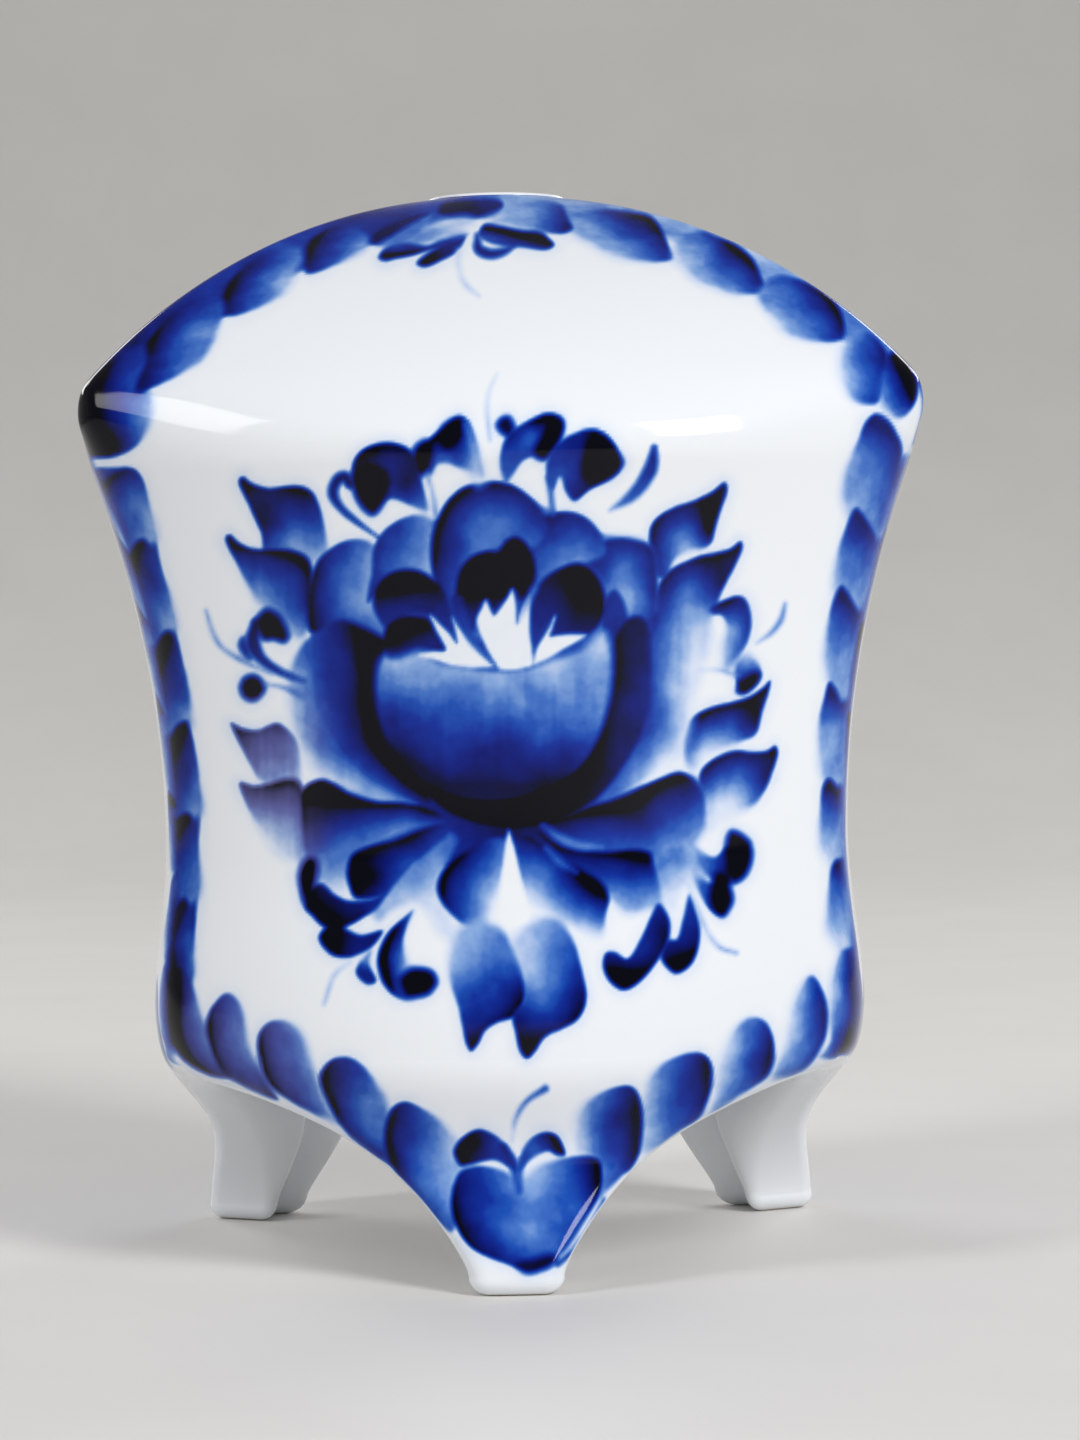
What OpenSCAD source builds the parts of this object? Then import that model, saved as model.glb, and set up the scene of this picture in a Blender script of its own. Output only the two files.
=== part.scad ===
// Three-sided glazed porcelain bud vase on three apron feet.
// Three bulged faces meet at soft upright edges, flare up to a crease,
// lean in to a small round mouth and run down into a pointed foot each.
// Millimetres, +Z up, front face towards -Y, feet on z = 0, box centred on the origin.

/* [Heights] */
// Top of the mouth lip above the table
total_h = 119.7; // [112:0.1:130]
// Height of the crease in the middle of a face
crease_z = 90.5; // [86:0.5:95]
// Height of the narrowest belt of the body
waist_z = 47; // [42:1:54]
// Height of the fullest belt near the bottom
belly_z = 27.5; // [26:0.5:32]
// Level of the joint between the walls and the apron feet
joint_z = 25; // [23.5:0.5:26]

/* [Plan radii] */
// Axis to the upright edge at the waist
waist_edge_r = 42.4; // [40:0.1:46]
// Axis to the middle of a face at the waist
waist_face_r = 36.9; // [35:0.1:39]
// Axis to the upright edge at the belly
belly_edge_r = 44; // [41:0.1:46]
// Axis to the middle of a face at the belly
belly_face_r = 38.6; // [37:0.1:41]
// Axis to the upright edge at the crease
crease_edge_r = 51.7; // [49:0.1:55]
// Axis to the middle of a face at the crease
crease_face_r = 43.6; // [41:0.1:46]
// Softness of the upright edges
edge_soft = 2; // [1:0.1:4]
// Softness of the crease
crease_soft = 2.4; // [1:0.1:4]
// Softness of the corners where the crease meets the upright edges
corner_soft = 4.1; // [2:0.1:6]

/* [Dome] */
// Radius of the arc that each ridge follows from corner to mouth
ridge_arc_r = 73.2; // [68:0.1:78]
// How straight a face leans in above the crease
lean_share = 0.5; // [0.4:0.01:0.8]

/* [Mouth] */
// Outside radius of the mouth ring
mouth_r = 8; // [7:0.1:9]
// Radius of the mouth bore
bore_r = 5.2; // [4:0.1:6]
// Height of the mouth ring
mouth_h = 4.6; // [4:0.1:6]
// How far the lip stands above the shoulders
lip_rise = 0.3; // [0.2:0.05:0.8]

/* [Walls] */
// Thickness of the cast wall
wall_t = 3.6; // [3:0.1:4.5]
// Thickness of the floor plate
floor_t = 4; // [3:0.1:6]
// Thickness of the slip in the joints round the floor and the mouth ring
slip_gap = 0.1; // [0.05:0.01:0.2]

/* [Feet] */
// Radial thickness of the apron
apron_t = 7.6; // [7.4:0.1:8.6]
// Height of the arch between two feet, under an upright edge
arch_z = 20.7; // [18:0.1:21.5]
// Height below which the upright edges tuck in towards the arch
tuck_z = 29; // [27:0.5:32]
// How far the upright edges tuck in at the arch
tuck_in = 2.6; // [1:0.1:3.4]
// Half width of a toe, as an angle seen from the axis
toe_angle = 7.8; // [7:0.1:9]
// Fullness of the arch beside the upright edge
arch_full = 1.8; // [1.7:0.1:2.6]
// Sharpness with which the arch drops to the toe
arch_drop = 0.75; // [0.6:0.01:0.82]
// How far the ankle draws in
ankle_in = 3.8; // [2:0.1:4.4]
// How far the toe stands out from the belly
toe_out = 1.6; // [0.6:0.1:2]
// How much thicker the foot is than the apron at its toe
toe_more = 3.8; // [2:0.1:4.4]
// Angle over which that extra thickness fades out
toe_spread = 16; // [12:0.5:20]
// Depth of the hollow down the inside of a foot
groove_in = 4.4; // [2:0.1:4.6]
// Half width of that hollow, as an angle seen from the axis
groove_angle = 5.6; // [4:0.1:7]
// Rounding of the apron lip under an upright edge
lip_round = 3.2; // [2.6:0.1:3.5]
// Rounding of the foot beside its toe
toe_round = 2.4; // [1.8:0.1:2.8]
// Rounding round the sole, in height
sole_round = 2; // [1:0.1:2.2]

/* [Fineness] */
// Steps across half a face
face_steps = 16; // [10:1:20]
// Steps up a wall
wall_steps = 16; // [10:1:20]
// Steps up the dome
dome_steps = 15; // [10:1:18]
// Steps along half an arch
arch_steps = 14; // [10:1:18]
// Steps across a toe
toe_steps = 8; // [6:2:12]
// Steps down an apron
apron_steps = 10; // [8:1:14]

/* [Hidden] */
// Faces of the vase, in turn round the axis
FACES = ["front", "right", "left"];
// Half the angle that one face takes of the circle
half_face = 180 / len(FACES);
// Direction of the neighbouring face
next_face = 2 * half_face;
// Level at which the dome meets the mouth ring
dome_top_z = total_h - lip_rise;
// Radius of the hole that the three shoulders leave for the ring
dome_hole_r = mouth_r + slip_gap;
// Centre height of the ridge arc
ridge_centre_z = dome_top_z - sqrt(pow(ridge_arc_r, 2) - pow(dome_hole_r, 2));
// Rounding of the lip towards the bore, and radius at which it starts
mouth_round = (mouth_r - bore_r) / 2;
lip_r = bore_r + mouth_round;
// Pitch of the ankle curve: the ankle is narrowest a little above half height
ankle_pitch = 1.1;
// Levels of a shoulder over which its inside turns from level to square
turn_levels = 3;
// Height over which the slope of the dome is taken
slope_span = 0.5;
// Crowding of the apron levels towards the lip
apron_grading = 1.7;
// Least slope that a distance from the lip is divided by
least_slope = 0.001;
// Angular spread of the arch from toe to upright edge
arch_span = half_face - toe_angle;
// Height of the arch above the rounding of the sole
arch_h = arch_z - sole_round;
// Axis to the outside of a toe
toe_r = belly_face_r + toe_out;
// Angle past the toe at which the full lip rounding is reached
full_lip_angle = half_face / 2;
// Reach of the front face and of the rear edge from the axis
front_reach = max([for (z = wall_levels()) outer_r(0, z)]);
rear_reach = max([for (z = concat(wall_levels(), dome_levels())) outer_r(half_face, z)]);
// Place of the axis in the box, which the front face and the rear edge don't halve
axis_y = (front_reach - rear_reach) / 2;
// Facets of the round mouth
$fn = 96;

// Names of the sub-parts, and the one to show

// Smaller of two lengths with a soft turn of width k
function soft_min(a, b, k) = min(a, b) - k / 4 * pow(max(k - abs(a - b), 0) / k, 2);

// Larger of two values with a soft turn of width k
function soft_max(a, b, k) = max(a, b) + k / 4 * pow(max(k - abs(a - b), 0) / k, 2);

// One over the plan radius of a face, face_r in its middle and edge_r at its edges
function inverse_r(face_r, edge_r, a) =
    2 / edge_r - 1 / face_r + 2 * (1 / face_r - 1 / edge_r) * cos(a);

// Plan radius at angle a from the middle of a face, with the edge softened
function plan_r(face_r, edge_r, a) =
    1 / soft_max(
        inverse_r(face_r, edge_r, abs(a)),
        inverse_r(face_r, edge_r, next_face - abs(a)),
        edge_soft / pow(edge_r, 2)
    );

// Smooth step from 0 to 1
function ease(t) = t * t * (3 - 2 * t);

// Upright profile of the body from belly to crease
function body_profile(z, waist_r, belly_r, crease_r) =
    z > waist_z
    ? waist_r + (crease_r - waist_r) * pow((z - waist_z) / (crease_z - waist_z), 2)
    : waist_r + (belly_r - waist_r) * ease(min(1, (waist_z - z) / (waist_z - belly_z)));

// Height above the crease as a share of the dome
function dome_share(z) = (z - crease_z) / (dome_top_z - crease_z);

// Dome profile in the middle of a face
function dome_face_r(z) =
    crease_face_r - (crease_face_r - dome_hole_r)
    * (lean_share * dome_share(z) + (1 - lean_share) * pow(dome_share(z), 2) * sign(dome_share(z)));

// Dome profile along a ridge
function dome_edge_r(z) = sqrt(pow(ridge_arc_r, 2) - pow(z - ridge_centre_z, 2));

// How far the ankle draws in below the joint, less what the toe stands out
function foot_in(z) =
    z >= joint_z
    ? 0
    : ankle_in * pow(sin(180 * pow(z / joint_z, ankle_pitch)), 2) - toe_out * (1 - z / joint_z);

// Axis to the middle of a face at height z
function face_r(z) =
    soft_min(body_profile(z, waist_face_r, belly_face_r, crease_face_r), dome_face_r(z), crease_soft)
    - foot_in(z);

// How far an upright edge tucks in towards the arch
function edge_tuck(z) = tuck_in * pow(min(1, max(0, tuck_z - z) / (tuck_z - arch_z)), 2);

// Axis to an upright edge or ridge at height z
function edge_r(z) =
    soft_min(body_profile(z, waist_edge_r, belly_edge_r, crease_edge_r), dome_edge_r(z), corner_soft)
    - edge_tuck(z);

// Outside radius at angle a and height z
function outer_r(a, z) = plan_r(face_r(z), edge_r(z), a);

// Angles across a face, closer together towards its edges
function face_angles() = [for (i = [-face_steps : face_steps]) half_face * sin(90 * i / face_steps)];

// Point in the frame of the front face
function at(a, r, z) = [r * sin(a), -r * cos(a), z];

// Levels of a wall
function wall_levels() = [for (i = [0 : wall_steps]) joint_z + (crease_z - joint_z) * i / wall_steps];

// Upright section of a wall at angle a: outside downwards, then inside upwards
function wall_ring(a) = concat(
    [for (i = [wall_steps : -1 : 0]) let (z = wall_levels()[i]) at(a, outer_r(a, z), z)],
    [for (z = wall_levels()) at(a, outer_r(a, z) - wall_t, z)]
);

// Levels of a shoulder, closer together towards the mouth
function dome_level(i) = crease_z + (dome_top_z - crease_z) * sin(90 * i / dome_steps);
function dome_levels() = [for (i = [0 : dome_steps]) dome_level(i)];

// Lean of the dome from upright
function dome_lean(a, z) =
    atan((outer_r(a, z - slope_span / 2) - outer_r(a, z + slope_span / 2)) / slope_span);

// Inside point of a shoulder, square to the outside except near the crease and the mouth
function dome_inside(a, i) =
    let (
        z = dome_level(i),
        lean = dome_lean(a, min(z, dome_top_z - slope_span)) * min(1, i / turn_levels)
    )
    at(a, max(dome_hole_r, outer_r(a, z) - wall_t * cos(lean)), z - wall_t * max(0, sin(lean)));

// Outside point of a shoulder, ending on the hole for the mouth ring
function dome_outside(a, i) = at(a, max(dome_hole_r, outer_r(a, dome_level(i))), dome_level(i));

// Upright section of a shoulder at angle a
function dome_ring(a) = concat(
    [for (i = [dome_steps : -1 : 0]) dome_outside(a, i)],
    [for (i = [0 : dome_steps]) dome_inside(a, i)]
);

// Angles across an apron, evenly spread along its lip and closer together at the corners of the toe
function side_angles() = [
    for (i = [0 : arch_steps]) half_face - arch_span * pow(cos(90 - 90 * i / arch_steps), 2 / arch_full)
];
function apron_angles() = concat(
    [for (a = side_angles()) -a],
    [for (i = [1 : toe_steps - 1]) toe_angle * sin(180 * i / toe_steps - 90)],
    [for (i = [arch_steps : -1 : 0]) side_angles()[i]]
);

// Share of the way from the upright edge to the toe
function arch_share(a) = (half_face - abs(a)) / arch_span;

// Setback of a rounded edge of radius r at distance d from it
function setback(d, r) = d >= r ? 0 : r - sqrt(max(0, r * r - pow(r - d, 2)));

// Height of the lip at a corner of the toe, which is rounded
function toe_lip_z(a) = sole_round * setback(max(0, toe_angle - abs(a)) * PI / 180 * toe_r / toe_round, 1);

// Height of the apron lip
function lip_z(a) =
    abs(a) < toe_angle
    ? toe_lip_z(a)
    : sole_round + arch_h * pow(max(0, 1 - pow(arch_share(a), arch_full)), arch_drop);

// Distance from the apron lip, measured on the face
function lip_distance(a, z) =
    let (
        t = arch_share(a),
        h = max(0, z - sole_round) / arch_h,
        over = pow(t, arch_full) + pow(h, 1 / arch_drop) - 1,
        along = arch_full * pow(t, arch_full - 1) * 180 / (PI * arch_span * outer_r(a, z)),
        up = pow(h, 1 / arch_drop - 1) / (arch_drop * arch_h)
    )
    max(0, over) / max(norm([along, up]), least_slope);

// Rounding of the lip, smaller towards the toe
function lip_round_at(a) =
    toe_round + (lip_round - toe_round) * ease(min(1, max(0, abs(a) - toe_angle) / full_lip_angle));

// Setback of both sides of an apron towards its lip and its sole, which share their corners
function apron_setback(a, z) =
    let (
        r = lip_round_at(a),
        beside = max(0, 1 - lip_distance(a, z) / r),
        under = max(0, 1 - z / sole_round),
        corner_r = (r * beside + sole_round * under) / max(beside + under, least_slope)
    )
    corner_r * setback(1 - min(1, norm([beside, under])), 1);

// Bell curve of half width w
function bell(a, w) = exp(-pow(a / w, 2));

// Thickness of the apron, more at the toe and less in the hollow down the inside of the foot
function apron_thick(a, z) =
    apron_t
    + (toe_more * bell(a, toe_spread) - groove_in * bell(a, groove_angle)) * (1 - pow(z / joint_z, 2));

// Level i of an apron, closer together towards the lip
function apron_level(a, i) = lip_z(a) + (joint_z - lip_z(a)) * pow(i / apron_steps, apron_grading);

// Upright section of an apron foot at angle a
function apron_ring(a) = concat(
    [
        for (i = [apron_steps : -1 : 0])
        let (z = apron_level(a, i))
        at(a, outer_r(a, z) - apron_setback(a, z), z)
    ],
    [
        for (i = [0 : apron_steps])
        let (z = apron_level(a, i))
        at(a, outer_r(a, z) - apron_thick(a, z) + apron_setback(a, z), z)
    ]
);

// Solid swept through closed upright sections, each outside then inside
module swept(rings) {
    n = len(rings);
    m = len(rings[0]);
    points = [for (ring = rings) each ring];
    sides = [
        for (j = [0 : n - 2], i = [0 : m - 1])
        let (a = j * m + i, b = j * m + (i + 1) % m)
        each [[a, a + m, b], [b, a + m, b + m]]
    ];
    ends = [
        for (i = [0 : m / 2 - 2])
        let (k = m - 1 - i, e = (n - 1) * m)
        each [
            [i, i + 1, k], [i + 1, k - 1, k],
            [e + i, e + k, e + i + 1], [e + i + 1, e + k, e + k - 1]
        ]
    ];
    polyhedron(points = points, faces = concat(sides, ends), convexity = 10);
}

// Wall of one face, from the apron joint to the crease
module wall() {
    color("white") swept([for (a = face_angles()) wall_ring(a)]);
}

// Shoulder of one face, from the crease to the mouth
module shoulder() {
    color("aliceblue") swept([for (a = face_angles()) dome_ring(a)]);
}

// Apron of one face with its pointed foot
module foot() {
    color("ghostwhite") swept([for (a = apron_angles()) apron_ring(a)]);
}

// Turns a piece to its face, round the axis of the vase
module on_face(turn) {
    translate([0, axis_y, 0]) rotate([0, 0, turn]) children();
}

module front_wall() {
    on_face(0) wall();
}

module left_wall() {
    on_face(-next_face) wall();
}

module right_wall() {
    on_face(next_face) wall();
}

module front_shoulder() {
    on_face(0) shoulder();
}

module left_shoulder() {
    on_face(-next_face) shoulder();
}

module right_shoulder() {
    on_face(next_face) shoulder();
}

module front_foot() {
    on_face(0) foot();
}

module left_foot() {
    on_face(-next_face) foot();
}

module right_foot() {
    on_face(next_face) foot();
}

// Ring with a rounded lip that closes the three shoulders round the mouth
module mouth_ring() {
    color("white")
    translate([0, axis_y, 0])
    rotate_extrude()
    union() {
        translate([bore_r, total_h - mouth_h])
            square([mouth_r - bore_r, mouth_h - mouth_round]);
        translate([lip_r, total_h - mouth_round])
            circle(r = mouth_round);
        translate([lip_r, total_h - mouth_h])
            square([mouth_r - lip_r, mouth_h - lip_rise]);
        translate([lip_r, total_h - mouth_h])
            square([mouth_r - lip_r - lip_rise, mouth_h]);
        translate([mouth_r - lip_rise, total_h - lip_rise])
            circle(r = lip_rise);
    }
}

// Outline of the floor plate, just inside the three walls
function floor_outline() = [
    for (k = [0 : len(FACES) - 1], i = [0 : 2 * face_steps - 1])
    let (
        a = face_angles()[i],
        r = min(outer_r(a, joint_z), outer_r(a, joint_z + floor_t)) - wall_t - slip_gap
    )
    [r * sin(a + k * next_face), -r * cos(a + k * next_face)]
];

// Floor plate, seated on the ledge that the three aprons make
module base_floor() {
    color("white")
    translate([0, axis_y, joint_z])
        linear_extrude(height = floor_t)
        polygon(floor_outline());
}

front_wall();
left_wall();
right_wall();
front_shoulder();
left_shoulder();
right_shoulder();
mouth_ring();
base_floor();
front_foot();
left_foot();
right_foot();
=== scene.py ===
"""Three-sided porcelain bud vase: glazed pieces with cobalt painting, studio and camera."""
import math

import bpy
import numpy as np
from mathutils import Matrix, Vector


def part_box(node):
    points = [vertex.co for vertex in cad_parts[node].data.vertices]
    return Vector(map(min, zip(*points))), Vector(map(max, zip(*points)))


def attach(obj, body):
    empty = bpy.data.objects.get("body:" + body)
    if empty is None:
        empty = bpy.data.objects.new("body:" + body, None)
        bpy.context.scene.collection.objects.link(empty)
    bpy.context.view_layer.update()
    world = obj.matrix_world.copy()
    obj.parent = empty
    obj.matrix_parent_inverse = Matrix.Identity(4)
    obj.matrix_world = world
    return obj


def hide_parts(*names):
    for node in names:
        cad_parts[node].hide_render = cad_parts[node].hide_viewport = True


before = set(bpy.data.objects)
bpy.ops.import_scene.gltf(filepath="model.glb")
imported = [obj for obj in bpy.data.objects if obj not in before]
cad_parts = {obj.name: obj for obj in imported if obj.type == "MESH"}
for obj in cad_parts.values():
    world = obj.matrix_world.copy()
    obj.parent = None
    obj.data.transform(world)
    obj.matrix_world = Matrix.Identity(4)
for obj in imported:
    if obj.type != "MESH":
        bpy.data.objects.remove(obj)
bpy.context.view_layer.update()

MM = 0.001
TINY = 1e-9

# Sizes of the vase in millimetres and degrees, as in the part's source
TOTAL_H, CREASE_Z, WAIST_Z, BELLY_Z, JOINT_Z = 119.7, 90.5, 47.0, 27.5, 25.0
WAIST_EDGE_R, WAIST_FACE_R = 42.4, 36.9
BELLY_EDGE_R, BELLY_FACE_R = 44.0, 38.6
CREASE_EDGE_R, CREASE_FACE_R = 51.7, 43.6
EDGE_SOFT, CREASE_SOFT, CORNER_SOFT = 2.0, 2.4, 4.1
RIDGE_ARC_R, LEAN_SHARE = 73.2, 0.5
MOUTH_R, BORE_R, MOUTH_H, LIP_RISE, MOUTH_ROUND = 8.0, 5.2, 4.6, 0.3, 1.4
WALL_T, FLOOR_T = 3.6, 4.0
APRON_T, ARCH_Z, TOE_ANGLE, ARCH_FULL, ARCH_DROP = 7.6, 20.7, 7.8, 1.8, 0.75
TUCK_Z, TUCK_IN = 29.0, 2.6
ANKLE_IN, ANKLE_PITCH, TOE_OUT = 3.8, 1.1, 1.6
TOE_MORE, TOE_SPREAD, GROOVE_IN, GROOVE_ANGLE = 3.8, 16.0, 4.4, 5.6
LIP_ROUND, TOE_ROUND, SOLE_ROUND = 3.2, 2.4, 2.0
HALF_FACE, NEXT_FACE = 60.0, 120.0
# The fine surface is drawn in by this much, to lie within the chords of the solids
INSIDE_CAD = 0.08
# About how far the corners of the solids reach from the axis, and the softness of keeping within it
CORNER_REACH, REACH_SOFT = 52.5, 0.6
# Least divisor where the lips of the feet are rounded
LEAST = 0.001
DOME_TOP_Z = TOTAL_H - LIP_RISE
RIDGE_CENTRE_Z = DOME_TOP_Z - math.sqrt(RIDGE_ARC_R**2 - MOUTH_R**2)
ARCH_SPAN = HALF_FACE - TOE_ANGLE

# The mouth ring is turned on the axis of the vase
ring_low, ring_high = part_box("mouth_ring")
AXIS_Y = (ring_low[1] + ring_high[1]) / 2

# Turn of each face round the axis, and the hand that painted it
FACES = {"front": (0.0, 0), "left": (-NEXT_FACE, 1), "right": (NEXT_FACE, 2)}


def ease(t):
    return t * t * (3 - 2 * t)


def soft_min(a, b, k):
    return np.minimum(a, b) - k / 4 * (np.maximum(k - np.abs(a - b), 0) / k) ** 2


def soft_max(a, b, k):
    return -soft_min(-a, -b, k)


def inverse_r(face, edge, a):
    """One over the radius of a bulged face at angle a, from its radii at the middle and the edge."""
    return 2 / edge - 1 / face + 2 * (1 / face - 1 / edge) * np.cos(np.radians(a))


def body_profile(z, waist, belly, crease):
    above = waist + (crease - waist) * (np.maximum(z - WAIST_Z, 0) / (CREASE_Z - WAIST_Z)) ** 2
    below = waist + (belly - waist) * ease(np.clip((WAIST_Z - z) / (WAIST_Z - BELLY_Z), 0, 1))
    return np.where(z > WAIST_Z, above, below)


def face_r(z):
    """Axis to the middle of a face at height z."""
    body = body_profile(z, WAIST_FACE_R, BELLY_FACE_R, CREASE_FACE_R)
    t = (z - CREASE_Z) / (DOME_TOP_Z - CREASE_Z)
    lean = LEAN_SHARE * t + (1 - LEAN_SHARE) * t * np.abs(t)
    dome = CREASE_FACE_R - (CREASE_FACE_R - MOUTH_R) * lean
    s = np.clip(z / JOINT_Z, 0, 1)
    foot = ANKLE_IN * np.sin(np.pi * s**ANKLE_PITCH) ** 2 - TOE_OUT * (1 - s)
    return soft_min(body, dome, CREASE_SOFT) - np.where(s < 1, foot, 0)


def edge_r(z):
    """Axis to an upright edge or ridge at height z."""
    body = body_profile(z, WAIST_EDGE_R, BELLY_EDGE_R, CREASE_EDGE_R)
    dome = np.sqrt(np.maximum(RIDGE_ARC_R**2 - (z - RIDGE_CENTRE_Z) ** 2, 1))
    tuck = TUCK_IN * np.clip((TUCK_Z - z) / (TUCK_Z - ARCH_Z), 0, 1) ** 2
    return soft_min(body, dome, CORNER_SOFT) - tuck


def outer_r(a, z):
    """Outside radius at angle a from the middle of a face and height z."""
    face, edge, a = face_r(z), edge_r(z), np.abs(a)
    own, beside = inverse_r(face, edge, a), inverse_r(face, edge, NEXT_FACE - a)
    return soft_min(1 / soft_max(own, beside, EDGE_SOFT / edge**2), CORNER_REACH, REACH_SOFT) - INSIDE_CAD


def at(a, r, z):
    """Points in the frame of the front face, in millimetres from the axis."""
    a, r, z = np.broadcast_arrays(np.radians(a), r, z)
    return np.stack([r * np.sin(a), -r * np.cos(a), z], -1)


# Camera of the photograph, in millimetres from the axis, for a frame of 1080 by 1440
FRAME_W, FRAME_H, FOCAL_PX, SENSOR = 1080, 1440, 3779.1, 36.0
CAMERA_AT = np.array([-3.587, -436.515, 72.995])
PITCH, YAW, ROLL = (math.radians(d) for d in (1.743, 1.007, 0.929))


def camera_axes():
    """Right, up and forward of the photograph's camera."""
    level = math.cos(PITCH)
    forward = np.array([math.sin(YAW) * level, math.cos(YAW) * level, -math.sin(PITCH)])
    right = np.array([math.cos(YAW), -math.sin(YAW), 0])
    up = np.cross(right, forward)
    turn, tilt = math.cos(ROLL), math.sin(ROLL)
    return right * turn - up * tilt, right * tilt + up * turn, forward


def in_photo(points):
    """Where the camera sees points of the front face, in pixels of the photograph."""
    right, up, forward = camera_axes()
    seen = points - CAMERA_AT
    depth = seen @ forward
    x = FRAME_W / 2 + FOCAL_PX * (seen @ right) / depth
    y = FRAME_H / 2 - FOCAL_PX * (seen @ up) / depth
    return x, y


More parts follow.
